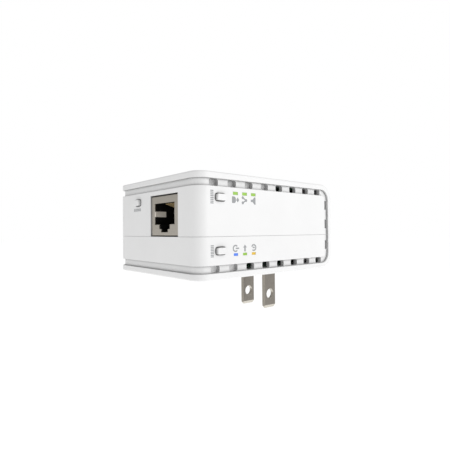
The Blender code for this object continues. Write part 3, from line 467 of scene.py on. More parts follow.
def brushed(name, colour, roughness, along, contrast=0.08, relief=0.002 * MM, glow=0.0):
    """Drawn or rolled metal: fine lines along one axis, with soft stains."""
    finish = Finish(name, colour, roughness, 1.0)
    lines = finish.noise(9000, 3.0, along)
    dark, light = scaled(colour, 1 - contrast), scaled(colour, 1 + contrast)
    finish.colour(finish.ramp(lines, (0.3, dark), (0.7, light)))
    finish.roughness(finish.band(finish.noise(500), roughness - 0.06, roughness + 0.08))
    if glow:
        finish.glow(colour, glow)
    return finish.bump(lines, relief).material


def speckled(name, colour, other, roughness, scale, relief=0.004 * MM, metallic=0.0):
    """Grainy surface of two close tones."""
    finish = Finish(name, colour, roughness, metallic)
    grain = finish.noise(scale, 4.0)
    finish.colour(finish.ramp(grain, (0.35, colour), (0.65, other)))
    finish.roughness(finish.band(finish.noise(scale / 5), roughness - 0.08, roughness + 0.08))
    return finish.bump(grain, relief).material


def banded(name, colour, other, roughness, pitch, direction, relief, metallic=0.0):
    """Wound or wrapped surface: bands of one pitch along an axis."""
    finish = Finish(name, colour, roughness, metallic)
    wave = finish.nodes.new("ShaderNodeTexWave")
    wave.bands_direction = direction
    wave.inputs["Scale"].default_value = 0.31416 / pitch / 2
    wave.inputs["Distortion"].default_value = 0.4
    wave.inputs["Detail"].default_value = 2.0
    finish.links.new(finish.place, wave.inputs["Vector"])
    height = wave.outputs["Fac"]
    finish.colour(finish.ramp(height, (0.1, other), (0.6, colour)))
    finish.roughness(finish.band(finish.noise(900), roughness - 0.06, roughness + 0.08))
    return finish.bump(height, relief).material


def laminate():
    """Circuit board: green mask over a faint copper pattern."""
    green = (0.02, 0.16, 0.06)
    finish = Finish("board_laminate", green, 0.35)
    bricks = finish.nodes.new("ShaderNodeTexBrick")
    bricks.inputs["Scale"].default_value = 260
    bricks.inputs["Mortar Size"].default_value = 0.03
    bricks.inputs["Color1"].default_value = (*green, 1)
    bricks.inputs["Color2"].default_value = (*scaled(green, 1.25), 1)
    bricks.inputs["Mortar"].default_value = (0.03, 0.28, 0.10, 1)
    finish.links.new(finish.place, bricks.inputs["Vector"])
    finish.colour(bricks.outputs["Color"])
    return finish.bump(bricks.outputs["Fac"], 0.03 * MM, 0.5).material


def lit(name, colour, glow):
    """Light pipe with a lamp behind it: tinted, softly uneven glow."""
    finish = Finish(name, colour, 0.3)
    spread = finish.noise(1500, 1.0)
    finish.colour(finish.ramp(spread, (0.3, scaled(colour, 0.9)), (0.7, scaled(colour, 1.06))))
    return finish.glow(colour, glow).bump(finish.noise(4000), 0.003 * MM).material


WHITE = (0.84, 0.84, 0.84)
GREEN = (0.29, 0.54, 0.055)
BLUE = (0.09, 0.24, 0.90)
AMBER = (0.74, 0.48, 0.03)

case_white = moulded("case_white", WHITE, 0.42)
# Lighter copies of the white for the rib behind the blind slots: weaker painted crevice shade, and for
# the lower shell's rib also a painted glow.
rib_less_shade = moulded("rib_less_shade", WHITE, 0.5, shade=0.9)
rib_painted_glow = moulded("rib_painted_glow", WHITE, 0.5, shade=0.9, glow=0.12)
# Darker copy of the white for the slots' side walls: painted shade.
jamb_painted_shade = moulded("jamb_painted_shade", (0.64, 0.64, 0.64), 0.5, shade=0.8)
button_white = moulded("button_white", WHITE, 0.32, 7000, 0.002 * MM)
print_grey = speckled("print_grey", (0.30, 0.31, 0.32), (0.34, 0.35, 0.36), 0.55, 9000, 0.001 * MM)
dark_plastic = moulded("dark_plastic", (0.004, 0.004, 0.004), 0.7)
dark_plastic.node_tree.nodes["Principled BSDF"].inputs["Specular IOR Level"].default_value = 0.15
shield_metal = brushed("shield_metal", (0.46, 0.43, 0.38), 0.38, (0.03, 1, 1))
# The spring fingers glow a little: painted light inside the socket.
spring_metal_painted_glow = brushed("spring_metal_painted_glow", (0.62, 0.58, 0.52), 0.5, (0.03, 1, 1), 0.12, glow=0.28)
blade_metal = brushed("blade_metal", (0.217, 0.20, 0.177), 0.42, (1, 1, 0.06), 0.12)
# Lighter copies of the blade metal for the blades' narrow edges and tips: painted highlights.
blade_edge_painted_highlight = brushed("blade_edge_painted_highlight", (0.34, 0.314, 0.275), 0.42, (1, 1, 0.06))
blade_tip_painted_highlight = brushed("blade_tip_painted_highlight", (0.60, 0.57, 0.51), 0.36, (0.06, 1, 1))
# The contacts glow a little: painted light inside the socket.
contact_gold = brushed("contact_gold", (0.85, 0.66, 0.36), 0.4, (0.05, 1, 1), glow=0.10)
screw_steel = brushed("screw_steel", (0.55, 0.55, 0.56), 0.32, (1, 1, 0.1))
label_film = speckled("label_film", (0.70, 0.71, 0.72), (0.74, 0.75, 0.76), 0.45, 4000, 0.001 * MM)
lamp_resin = speckled("lamp_resin", (0.85, 0.83, 0.72), (0.90, 0.89, 0.82), 0.3, 3000)
black_epoxy = speckled("component_black", (0.015, 0.015, 0.016), (0.03, 0.03, 0.03), 0.5, 8000)
ferrite = speckled("ferrite", (0.045, 0.045, 0.05), (0.08, 0.08, 0.085), 0.6, 3000, 0.01 * MM)
ceramic = speckled("fuse_ceramic", (0.78, 0.76, 0.70), (0.85, 0.83, 0.78), 0.4, 2500)
sleeve = moulded("capacitor_sleeve", (0.02, 0.045, 0.14), 0.3, 2500)
film_yellow = moulded("film_yellow", (0.80, 0.55, 0.05), 0.4, 2000)
varistor_blue = moulded("varistor_blue", (0.04, 0.14, 0.48), 0.35, 1500, 0.01 * MM)
winding_tape = banded("winding_tape", (0.80, 0.58, 0.08), (0.62, 0.40, 0.05), 0.4,
                      1.3 * MM, "Y", 0.04 * MM)
copper_wire = banded("enamelled_copper", (0.66, 0.26, 0.09), (0.30, 0.09, 0.03), 0.3,
                     0.5 * MM, "X", 0.08 * MM, 1.0)
aluminium = brushed("heat_sink_aluminium", (0.70, 0.70, 0.72), 0.35, (1, 0.05, 1))
brass = brushed("antenna_brass", (0.72, 0.56, 0.26), 0.32, (1, 0.05, 1))
board_green = laminate()


# ---------------------------------------------------------------- case

def plan_outline(inset, right):
    """The case from above, inset from its outer surface, up to a given right end."""
    radius = CORNER_RADIUS - min(inset, CORNER_RADIUS - 1.0 * MM)
    low = (LEFT + inset, FRONT + inset)
    return rounded_rectangle(low, (right, BACK - inset), (radius, 0, 0, radius))


def side_outline(inset, left):
    """The case from the front, inset from its outer surface, from a given left end."""
    radius = END_RADIUS - inset
    return rounded_rectangle((left, inset), (RIGHT - inset, TOP - inset), (0, radius, radius, 0))


def case_block(name, inset):
    """The whole case shape, inset from its outer surface."""
    plan = prism(name, plan_outline(inset, RIGHT + FAR), -FAR, TOP + FAR)
    side = prism("side", side_outline(inset, LEFT - FAR), FRONT - FAR, BACK + FAR, "Y")
    return combine(plan, [side], "INTERSECT")


def groove_cutter():
    """The framing groove: round the front, the left side and the back."""
    band = prism("band", side_outline(RIM, LEFT - FAR), FRONT - FAR, BACK + FAR, "Y")
    panel = prism("panel", side_outline(RIM + GROOVE_WIDTH, LEFT - 2 * FAR),
                  FRONT - 2 * FAR, BACK + 2 * FAR, "Y")
    radius = CORNER_RADIUS - GROOVE_DEPTH
    core_outline = rounded_rectangle((LEFT + GROOVE_DEPTH, FRONT + GROOVE_DEPTH),
                                     (RIGHT + 2 * FAR, BACK - GROOVE_DEPTH), (radius, 0, 0, radius))
    return cut(band, panel, prism("core", core_outline, -FAR, TOP + FAR))


def on_outer_wall(point):
    """True on the upright outer surface: front, left, back and the corners between them."""
    from_left = point.x - LEFT
    from_face = min(point.y - FRONT, BACK - point.y)
    if from_left < CORNER_RADIUS and from_face < CORNER_RADIUS:
        reach = math.hypot(CORNER_RADIUS - from_left, CORNER_RADIUS - from_face)
        return abs(CORNER_RADIUS - reach) < CLOSE
    return min(from_left, from_face) < CLOSE


def slot_outlines():
    """Vent slots of the straight rows and of the end groove."""
    outlines = []
    for first, level in ((SLOT_FIRST_UPPER, UPPER_GROOVE), (SLOT_FIRST_LOWER, LOWER_GROOVE)):
        for number in range(SLOT_COUNT):
            centre = (first + number * SLOT_PITCH, level)
            outlines.append(block_outline(centre, SLOT_LENGTH, SLOT_HEIGHT, SLOT_RADIUS))
    for level in END_SLOT_LEVELS:
        outlines.append(block_outline((END_GROOVE, level), SLOT_HEIGHT, SLOT_LENGTH, SLOT_RADIUS))
    return outlines


def button_outline(node, grow):
    """Outline of a button's face, grown on every side."""
    axis = "X" if node == "reset_button" else "Y"
    low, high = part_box(node)
    flat = (1, 2) if axis == "X" else (0, 2)
    trim = FLANGE_MARGIN - grow
    return rounded_rectangle([low[i] + trim for i in flat], [high[i] - trim for i in flat],
                             (BUTTON_RADIUS + grow,) * 4, 6)


def pipe_outline(node, grow):
    """Outline of a light pipe's face, grown on every side."""
    low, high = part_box(node)
    trim = PIPE_COLLAR - grow
    return rounded_rectangle((low.x + trim, low.z + trim), (high.x - trim, high.z - trim),
                             (0, 0, 0, 0))


HOLE_REACH = WALL + 0.3 * MM
WINDOW_SIDE_GAP = 0.2 * MM
WINDOW_TOP_GAP = 0.3 * MM


def whole_case():
    """Solid case with its groove, rounded lips, and pockets for all that the walls let through."""
    case = soften(case_block("case", 0), EDGE_RADIUS, 5)
    cut(case, groove_cutter())
    round_edges(case, on_outer_wall, GROOVE_LIP)

    shield_low, shield_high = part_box("network_socket_shield")
    window = box("window", (LEFT - MM, shield_low.y - WINDOW_SIDE_GAP, SEAM),
                 (LEFT + HOLE_REACH, shield_high.y + WINDOW_SIDE_GAP, shield_high.z + WINDOW_TOP_GAP))
    holes = [button_outline(name + "_button", BUTTON_CLEARANCE) for name in ("mode", "sync")]
    reset_hole = prism("reset_hole", button_outline("reset_button", BUTTON_CLEARANCE),
                       LEFT - MM, LEFT + HOLE_REACH, "X")
    cut(case, window, prisms("holes", holes, FRONT - MM, FRONT + HOLE_REACH, "Y"), reset_hole)
    round_edges(case, on_outer_wall, HOLE_LIP, 2)

    pipes = [pipe_outline("%s_light_pipe_%d" % (row, number), PIPE_CLEARANCE)
             for row in ("upper", "lower") for number in PIPE_NUMBERS]
    slots = slot_outlines()
    cut(case, prisms("front_holes", pipes + slots, FRONT - MM, FRONT + WALL + MM, "Y"),
        prisms("back_slots", slots, BACK - WALL - MM, BACK + MM, "Y"))
    return case


def keep_between(piece, low, high):
    """Cut away what lies outside two heights, and take the edge off at the seam."""
    below = box("below", (LEFT - FAR, FRONT - FAR, -2 * FAR), (RIGHT + FAR, BACK + FAR, low))
    above = box("above", (LEFT - FAR, FRONT - FAR, high), (RIGHT + FAR, BACK + FAR, TOP + 2 * FAR))
    cut(piece, below, above)

    def at_seam(point):
        return abs(point.z - SEAM) < SEAM_GAP and (on_outer_wall(point) or point.x > RIGHT - CLOSE)

    return round_edges(piece, at_seam, SEAM_CHAMFER, 1)


def copy_of(piece, name):
    """Second object with its own copy of the mesh."""
    twin = bpy.data.objects.new(name, piece.data.copy())
    SCENE.collection.objects.link(twin)
    return twin


SCREWS = ("case_screw_1", "case_screw_2", "case_screw_3")
POST_RADIUS = 2.4 * MM
POST_TOP = 8.4 * MM
POST_FOOT_RADIUS = 3.2 * MM
POST_FOOT_TOP = 4.4 * MM
BOSS_GAP = 0.3 * MM
PILOT_RADIUS = 1.35 * MM
PILOT_TOP = 16.5 * MM
WELL_RADIUS = 2.3 * MM
WELL_TOP = 2.6 * MM
JACK_SIDE_GAP = 0.4 * MM
JACK_GAP_START = LEFT + WALL - 0.1 * MM
BLADE_SLOT_PLAY = 0.16 * MM
BLADE_SLOT_RADIUS = 0.1 * MM
LABEL_GAP = 0.2 * MM
LABEL_RADIUS = 1.5 * MM
LABEL_POCKET = 0.3 * MM
WALL_FACE_EASE = 0.12 * MM


def paint_vent_shading(shell, rib_shading):
    """Give the rib behind the blind slots and the slots' side walls painted light and shade: the rib a
    lighter copy of the white, the side walls a darker copy as painted shade.
    """
    shell.data.materials.append(rib_shading)
    shell.data.materials.append(jamb_painted_shade)
    for face in shell.data.polygons:
        centre = face.center
        depth = min(centre.y - FRONT, BACK - centre.y)
        from_row = min(abs(centre.z - UPPER_GROOVE), abs(centre.z - LOWER_GROOVE))
        in_row = from_row < SLOT_HEIGHT / 2 and centre.x > ROW_PAINT_START
        in_end = abs(centre.x - END_GROOVE) < SLOT_HEIGHT / 2 + CLOSE
        if face.normal.y < -0.9 and abs(centre.y - FRONT - SLOT_REACH) < 2 * CLOSE:
            face.material_index = 1
        elif GROOVE_DEPTH < depth < WALL + MM and abs(face.normal.x) > 0.2 and (in_row or in_end):
            face.material_index = 2


def lip_ring(outer, low, high):
    """Part of the lip between two heights, from an outer inset to the inner one."""
    outlines = []
    for inset, radius in ((outer, LIP_OUTER_RADIUS), (LIP_INNER_INSET, LIP_INNER_RADIUS)):
        outlines.append(rounded_rectangle((LEFT + inset, FRONT + inset), (RIGHT - inset, BACK - inset),
                                          (radius, 0, 0, radius), 6))
    return cut(prism("ring", outlines[0], low, high), prism("hole", outlines[1], low - MM, high + MM))


def make_upper_shell(case):
    """Room-side shell with its bosses and the rib behind the first slots."""
    shell = keep_between(copy_of(case, "upper_shell_fine"), SEAM + SEAM_GAP / 2, TOP + FAR)
    cut(shell, case_block("cavity", WALL))
    ceiling = TOP - WALL / 2
    for screw in SCREWS:
        centre = middle(screw)
        join(shell, cylinder("boss", centre, POST_RADIUS, POST_TOP + BOSS_GAP, ceiling))
        cut(shell, cylinder("pilot", centre, PILOT_RADIUS, 0, PILOT_TOP))
    board_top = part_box("radio_board")[1].z
    join(shell, box("rib", (RIB_START, FRONT + SLOT_REACH, board_top - RIB_BELOW_BOARD_TOP),
                    (RIB_END_UPPER, RIB_BACK, ceiling)))
    place(shell, case_white, "case", "case_plastic", "upper_shell")
    paint_vent_shading(shell, rib_less_shade)


def make_lower_shell(case):
    """Wall-side shell with its lip, posts, screw wells, blade slots and label pocket."""
    shell = keep_between(copy_of(case, "lower_shell_fine"), -FAR, SEAM - SEAM_GAP / 2)
    cut(shell, case_block("cavity", WALL))

    join(shell, lip_ring(LIP_FOOT_INSET, LIP_BASE, LIP_STEP))
    join(shell, lip_ring(LIP_INSET, LIP_STEP - LIP_WELD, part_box("lower_shell")[1].z))
    shield_low, shield_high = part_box("network_socket_shield")
    cut(shell, box("jack_gap", (JACK_GAP_START, shield_low.y - JACK_SIDE_GAP, LIP_STEP),
                   (LEFT + FAR, shield_high.y + JACK_SIDE_GAP, TOP)))

    for screw in SCREWS:
        centre = middle(screw)
        join(shell, cylinder("foot", centre, POST_FOOT_RADIUS, WALL / 2, POST_FOOT_TOP),
             cylinder("post", centre, POST_RADIUS, WALL / 2, POST_TOP))
        cut(shell, cylinder("well", centre, WELL_RADIUS, -MM, WELL_TOP),
            cylinder("bore", centre, PILOT_RADIUS, 0, POST_TOP + MM))
    join(shell, box("rib", (RIB_START, FRONT + SLOT_REACH, WALL / 2),
                    (RIB_END_LOWER, RIB_BACK, RIB_TOP_LOWER)))
    for side in ("front", "back"):
        low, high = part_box("plug_blade_" + side)
        centre = (low + high) / 2
        slot = block_outline(centre, high.x - low.x + BLADE_SLOT_PLAY, high.y - low.y + BLADE_SLOT_PLAY,
                             BLADE_SLOT_RADIUS)
        cut(shell, prism("slot", slot, -MM, WALL + MM))
    low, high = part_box("rating_label")
    pocket = rounded_rectangle((low.x - LABEL_GAP, low.y - LABEL_GAP),
                               (high.x + LABEL_GAP, high.y + LABEL_GAP),
                               (LABEL_RADIUS + LABEL_GAP,) * 4, 6)
    cut(shell, prism("pocket", pocket, -MM, LABEL_POCKET))
    round_edges(shell, lambda point: abs(point.z) < CLOSE, WALL_FACE_EASE, 2)
    place(shell, case_white, "case", "case_plastic", "lower_shell")
    paint_vent_shading(shell, rib_painted_glow)


# ---------------------------------------------------------------- buttons, indicators, prints

def make_button(name):
    """Button with a filleted face, its flange and its stem."""
    node = name + "_button"
    axis = "X" if name == "reset" else "Y"
    low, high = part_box(node)
    along = 0 if axis == "X" else 1
    wall_back = (LEFT if axis == "X" else FRONT) + WALL + FLANGE_GAP
    cap = prism(node + "_fine", button_outline(node, 0), low[along], wall_back + FLANGE_WELD, axis)
    soften(cap, BUTTON_FILLET, 5, 60)
    centre = middle(node)
    flat = (centre.y, centre.z) if axis == "X" else (centre.x, centre.z)
    flange = prism("flange", button_outline(node, FLANGE_MARGIN),
                   wall_back, wall_back + FLANGE_THICKNESS, axis)
    join(cap, flange, cylinder("stem", flat, STEM_RADIUS, wall_back + 0.1 * MM, high[along], axis))
    place(cap, button_white, name + "_button", "button_plastic", node)


def make_light_pipe(node, slot, finish):
    """Light pipe with a softly rounded face and a collar behind the wall."""
    low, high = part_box(node)
    pipe = prism(node + "_fine", pipe_outline(node, 0), low.y, high.y, "Y")
    soften(pipe, 0.04 * MM, 3)
    collar = prism("collar", pipe_outline(node, PIPE_COLLAR), PIPE_COLLAR_LOW, PIPE_COLLAR_HIGH, "Y")
    place(join(pipe, soften(collar, 0.05 * MM, 2)), finish, "case", slot, node)


def print_marks(name, axis, outlines):
    """Flat prints that stand a hair proud of the wall they are on."""
    wall = LEFT if axis == "X" else FRONT
    marks = prisms(name, outlines, wall - PRINT_DEPTH, wall + PRINT_DEPTH, axis)
    place(marks, print_grey, "case", None)


def bar(start, end, width):
    """Outline of a straight stroke."""
    start, end = Vector(start), Vector(end)
    along = (end - start).normalized()
    across = Vector((-along.y, along.x)) * width / 2
    return [tuple(start - across), tuple(end - across), tuple(end + across), tuple(start + across)]


def ring_part(centre, radius, width, start, end):
    """Outline of an open ring between two angles, in degrees."""
    outer = arc(centre, radius + width / 2, start, end, 24)
    return outer + arc(centre, radius - width / 2, end, start, 24)


def icon_device(x, z):
    """Rounded case with a plug beside it."""
    size = 2.0 * MM
    return [rounded_rectangle((x - 1.4 * MM, z - size / 2), (x + 0.15 * MM, z + size / 2),
                              (0.15 * MM, 0.75 * MM, 0.75 * MM, 0.15 * MM), 6),
            [(x + 0.3 * MM, z), (x + 0.9 * MM, z - 0.75 * MM), (x + 1.5 * MM, z),
             (x + 0.9 * MM, z + 0.75 * MM)]]


def icon_network(x, z):
    """Three nodes joined by two lines."""
    reach, dot = 0.8 * MM, 0.45 * MM
    hub = (x + 0.65 * MM, z)
    marks = [circle(hub, dot, 20)]
    for side in (-1, 1):
        node = (x - 0.75 * MM, z + side * reach)
        marks.append(circle(node, dot, 20))
        way = (Vector(hub) - Vector(node)).normalized()
        marks.append(bar(Vector(node) + way * dot, Vector(hub) - way * dot, 0.4 * MM))
    return marks


def icon_signal(x, z):
    """Small source with a cone that widens away from it."""
    cone = [(x - 1.1 * MM, z - 0.35 * MM), (x - 0.35 * MM, z - 0.35 * MM), (x + 0.5 * MM, z - 1.15 * MM),
            (x + 0.95 * MM, z - 1.15 * MM)]
    return [cone + [(px, 2 * z - pz) for px, pz in reversed(cone)]]


def icon_power(x, z):
    """Open ring with a bar through the gap."""
    return [ring_part((x - 0.15 * MM, z), 0.9 * MM, 0.4 * MM, 42, 318),
            bar((x - 0.05 * MM, z), (x + 1.3 * MM, z), 0.4 * MM)]


def icon_link(x, z):
    """Upright arrow."""
    stem, head = 0.3 * MM, 0.75 * MM
    neck = z + 0.15 * MM
    return [[(x - stem, z - 1.05 * MM), (x + stem, z - 1.05 * MM), (x + stem, neck), (x + head, neck),
             (x, z + 1.05 * MM), (x - head, neck), (x - stem, neck)]]


def icon_speed(x, z):
    """Open dial with a hand."""
    return [ring_part((x, z), 0.9 * MM, 0.42 * MM, -130, 160),
            bar((x - 0.45 * MM, z + 0.1 * MM), (x + 0.4 * MM, z), 0.45 * MM)]


def label_dashes(centre, length, across, upright):
    """Row of four pairs of short strokes where a control's name would stand."""
    marks = []
    count, stroke, spread = 4, 0.28, 0.24
    pitch = length / count
    along = pitch * stroke
    for number in range(count):
        for half in (-1, 1):
            shift = (number - (count - 1) / 2 + half * spread) * pitch
            if upright:
                marks.append(block_outline((centre[0], centre[1] + shift), across, along, 0.08 * MM))
            else:
                marks.append(block_outline((centre[0] + shift, centre[1]), along, across, 0.08 * MM))
    return marks


def make_prints():
    """Icons beside the indicators, and dashes beside the buttons."""
    upper_icons = (icon_device, icon_network, icon_signal)
    lower_icons = (icon_power, icon_link, icon_speed)
    rows = (("upper", upper_icons, ICON_DROP_UPPER), ("lower", lower_icons, ICON_DROP_LOWER))
    for row, icons, drop in rows:
        for number, icon in zip(PIPE_NUMBERS, icons):
            centre = middle("%s_light_pipe_%d" % (row, number))
            print_marks(icon.__name__, "Y", icon(centre.x, centre.z + drop))
    for name, length in MARK_LENGTHS.items():
        centre = middle(name + "_button")
        outlines = label_dashes((centre.x - MARK_OFFSET, centre.z), length, MARK_ACROSS, True)
        print_marks(name + "_mark", "Y", outlines)
    centre = middle("reset_button")
    below = (centre.y + RESET_MARK_OFFSET[0], centre.z + RESET_MARK_OFFSET[1])
    print_marks("reset_mark", "X", label_dashes(below, RESET_MARK_LENGTH, RESET_MARK_ACROSS, False))


# ---------------------------------------------------------------- network socket

JACK_OPENING_TOP = 23.4 * MM
JACK_STEPS = ((5.9 * MM, JACK_OPENING_TOP), (5.9 * MM, 16.55 * MM), (3.15 * MM, 16.55 * MM),
              (3.15 * MM, 15.1 * MM), (2.0 * MM, 15.1 * MM), (2.0 * MM, 14.1 * MM))
SHIELD_SHEET = 0.4 * MM
SHIELD_FOLD = 0.35 * MM
MOUTH_EASE = 0.08 * MM

# Spring fingers: (behind the mouth, outwards from the opening's side) in mm
FINGER_PATH = ((0.12, 0.3), (0.12, 0), (0.4, -0.18), (3.6, -0.22), (4.25, -0.08))
FINGER_SHEET = 0.16 * MM
FINGER_LOW = 19.1 * MM
FINGER_HIGH = 20.9 * MM

# Contacts: (behind the housing's front, above the channel's roof line) in mm
CONTACT_PATH = ((14.2, 0), (2.5, 0), (2.05, -0.15), (1.88, -0.45), (2.05, -0.8), (8.5, -2.75))
CONTACT_SHEET = 0.25 * MM
CONTACT_ROOF = JACK_OPENING_TOP + 0.9 * MM
CAVITY_DEPTH = 13 * MM
CHANNEL_START = 1.2 * MM
CHANNEL_END = 14.5 * MM
CHANNEL_HALF_WIDTH = 0.36 * MM
CHANNEL_RISE = 1.2 * MM


def jack_opening(centre_y, grow=0):
    """Outline of the plug opening, with the two steps for the latch."""
    right = []
    for half_width, z in JACK_STEPS:
        top = z == JACK_OPENING_TOP
        right.append((half_width + grow, z + (grow if top else -grow)))
    return [(centre_y + y, z) for y, z in right] + [(centre_y - y, z) for y, z in reversed(right)]


def bent_strip(name, path, thickness, low, high, axis="Y"):
    """Sheet strip that follows a flat path, between two places along an axis."""
    left, right = [], []
    points = [Vector(point) for point in path]
    for index, point in enumerate(points):
        before = (point - points[index - 1]).normalized() if index else None
        after = (points[index + 1] - point).normalized() if index < len(points) - 1 else None
        normals = [Vector((-way.y, way.x)) for way in (before, after) if way]
        mitre = sum(normals, Vector((0, 0))).normalized()
        reach = thickness / 2 / mitre.dot(normals[0])
        left.append(tuple(point + mitre * reach))
        right.append(tuple(point - mitre * reach))
    return prism(name, left + right[::-1], low, high, axis)


def make_shield():
    """Folded shield: rounded folds, stepped mouth and a spring finger on each side."""
    low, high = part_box("network_socket_shield")
    centre_y = (low.y + high.y) / 2
    shield = soften(box("network_socket_shield_fine", low, high), SHIELD_FOLD, 4)
    hollow = box("hollow", low + Vector((1, 1, 1)) * SHIELD_SHEET,
                 (high.x + MM, high.y - SHIELD_SHEET, high.z - SHIELD_SHEET))
    cut(shield, hollow, prism("mouth", jack_opening(centre_y), low.x - MM, low.x + MM, "X"))
    round_edges(shield, lambda point: abs(point.x - low.x) < CLOSE, MOUTH_EASE, 3)
    place(shield, shield_metal, "case", "shield_metal", "network_socket_shield")

    half = JACK_STEPS[0][0]
    for name, side in (("near", -1), ("far", 1)):
        wall = centre_y + side * half
        path = [(low.x + behind * MM, wall + side * out * MM) for behind, out in FINGER_PATH]
        finger = bent_strip("shield_finger_" + name, path, FINGER_SHEET, FINGER_LOW, FINGER_HIGH, "Z")
        place(soften(finger, 0.04 * MM, 2), spring_metal_painted_glow, "case", "shield_metal")


def make_housing():
    """Moulded housing with a comb of eight contact channels in its roof."""
    low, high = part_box("network_socket_housing")
    centre_y = (low.y + high.y) / 2
    housing = box("network_socket_housing_fine", low, high)
    cut(housing, prism("cavity", jack_opening(centre_y), low.x - MM, low.x + CAVITY_DEPTH, "X"))
    for number in range(1, 9):
        y = middle("network_contact_%d" % number).y
        cut(housing, box("channel",
                         (low.x + CHANNEL_START, y - CHANNEL_HALF_WIDTH, JACK_OPENING_TOP - MM),
                         (low.x + CHANNEL_END, y + CHANNEL_HALF_WIDTH, JACK_OPENING_TOP + CHANNEL_RISE)))
    round_edges(housing, lambda point: abs(point.x - low.x) < CLOSE, 0.15 * MM, 2)
    place(housing, dark_plastic, "case", "dark_plastic", "network_socket_housing")


def make_contacts():
    """Eight gold springs that come out of the roof and slope down into the socket."""
    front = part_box("network_socket_housing")[0].x
    for number in range(1, 9):
        node = "network_contact_%d" % number
        low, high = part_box(node)
        path = [(front + behind * MM, CONTACT_ROOF + rise * MM) for behind, rise in CONTACT_PATH]
        spring = bent_strip(node + "_fine", path, CONTACT_SHEET, low.y, high.y)
        place(soften(spring, 0.05 * MM, 2), contact_gold, "case", "contact_gold", node)


# ---------------------------------------------------------------- plug, screws, label

BLADE_HOLE_RADIUS = 1.98 * MM
BLADE_HOLE_FROM_WALL = 11.9 * MM
BLADE_TIP = 1.2 * MM
BLADE_CORNER = 0.8 * MM
BLADE_TIP_THICKNESS = 0.7 * MM
BLADE_TIP_WIDTH = 5.2 * MM
BLADE_TAB_WIDTH = 2.6 * MM
BLADE_SHOULDER = 4.4 * MM
BLADE_EASE = 0.13 * MM


def tip_wedge(side, y, thickness, tip):
    """Cutter that slants one broad face of a blade towards its tip."""
    slope = (thickness - BLADE_TIP_THICKNESS) / 2 / BLADE_TIP
    slant_low = y + side * (BLADE_TIP_THICKNESS / 2 - slope * MM)
    slant_high = y + side * (thickness / 2 + slope * MM)
    outline = ((slant_low, tip - MM), (slant_high, tip + BLADE_TIP + MM),
               (y + side * thickness, tip - MM))
    return prism("wedge", outline, -FAR, FAR, "X")


def make_blade(side):
    """Plug blade with rounded edges, a slanted tip and a detent hole with eased rims."""
    node = "plug_blade_" + side
    low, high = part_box(node)
    half = (high.x - low.x) / 2
    y = (low.y + high.y) / 2
    thickness = high.y - low.y
    right_side = ((BLADE_TIP_WIDTH / 2, low.z), (half, low.z + BLADE_CORNER), (half, BLADE_SHOULDER),
                  (BLADE_TAB_WIDTH / 2, BLADE_SHOULDER), (BLADE_TAB_WIDTH / 2, high.z))
    outline = right_side + tuple((-x, z) for x, z in reversed(right_side))
    blade = prism(node + "_fine", outline, low.y, high.y, "Y")
    hole = cylinder("hole", (0, -BLADE_HOLE_FROM_WALL), BLADE_HOLE_RADIUS,
                    low.y - MM, high.y + MM, "Y", 48)
    cut(blade, tip_wedge(-1, y, thickness, low.z), tip_wedge(1, y, thickness, low.z), hole)
    soften(blade, BLADE_EASE, 3, 18)
    place(blade, blade_metal, "case", "blade_metal", node)
    # Faces that point down take the tip copy and the other faces that are not broad take the edge copy:
    # painted highlights by which way a face points.
    blade.data.materials.append(blade_edge_painted_highlight)
    blade.data.materials.append(blade_tip_painted_highlight)
    for face in blade.data.polygons:
        if face.normal.z < -0.2:
            face.material_index = 2
        elif abs(face.normal.y) < 0.97:
            face.material_index = 1


SCREW_HEAD = 1.5 * MM
SCREW_SHANK = 1.1 * MM
SCREW_ROOT = SCREW_SHANK * 0.8
THREAD_PITCH = 0.8 * MM
THREAD_END = 1.2 * MM
RECESS_LONG = 2.2 * MM
RECESS_WIDE = 0.5 * MM
RECESS_DEEP = 0.8 * MM


def make_screw(node):
    """Pan-head screw with a cross recess and a threaded shank."""
    low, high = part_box(node)
    centre = (low + high) / 2
    head = (high.x - low.x) / 2
    head_top = low.z + SCREW_HEAD
    profile = [(head * 0.55, low.z), (head * 0.8, low.z + 0.1 * MM), (head * 0.95, low.z + 0.35 * MM),
               (head, low.z + 0.7 * MM), (head, head_top), (SCREW_ROOT, head_top)]
    flank = THREAD_PITCH * 0.3
    height = head_top + THREAD_PITCH
    while height < high.z - THREAD_END:
        profile += [(SCREW_ROOT, height - flank), (SCREW_SHANK, height), (SCREW_ROOT, height + flank)]
        height += THREAD_PITCH
    profile.append((SCREW_SHANK * 0.2, high.z))
    screw = lathe(node + "_fine", centre, profile)
    for width, depth in ((RECESS_LONG, RECESS_WIDE), (RECESS_WIDE, RECESS_LONG)):
        cut(screw, prism("recess", block_outline(centre, width, depth), low.z - MM, low.z + RECESS_DEEP))
    place(screw, screw_steel, "case", "screw_steel", node)


def make_label():
    """Blank rating label with softened edges."""
    low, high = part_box("rating_label")
    outline = rounded_rectangle(low[:2], high[:2], (LABEL_RADIUS,) * 4, 8)
    label = soften(prism("rating_label_fine", outline, low.z, high.z), 0.03 * MM, 2)
    place(label, label_film, "case", "label_film", "rating_label")


# ---------------------------------------------------------------- carried-over CAD pieces

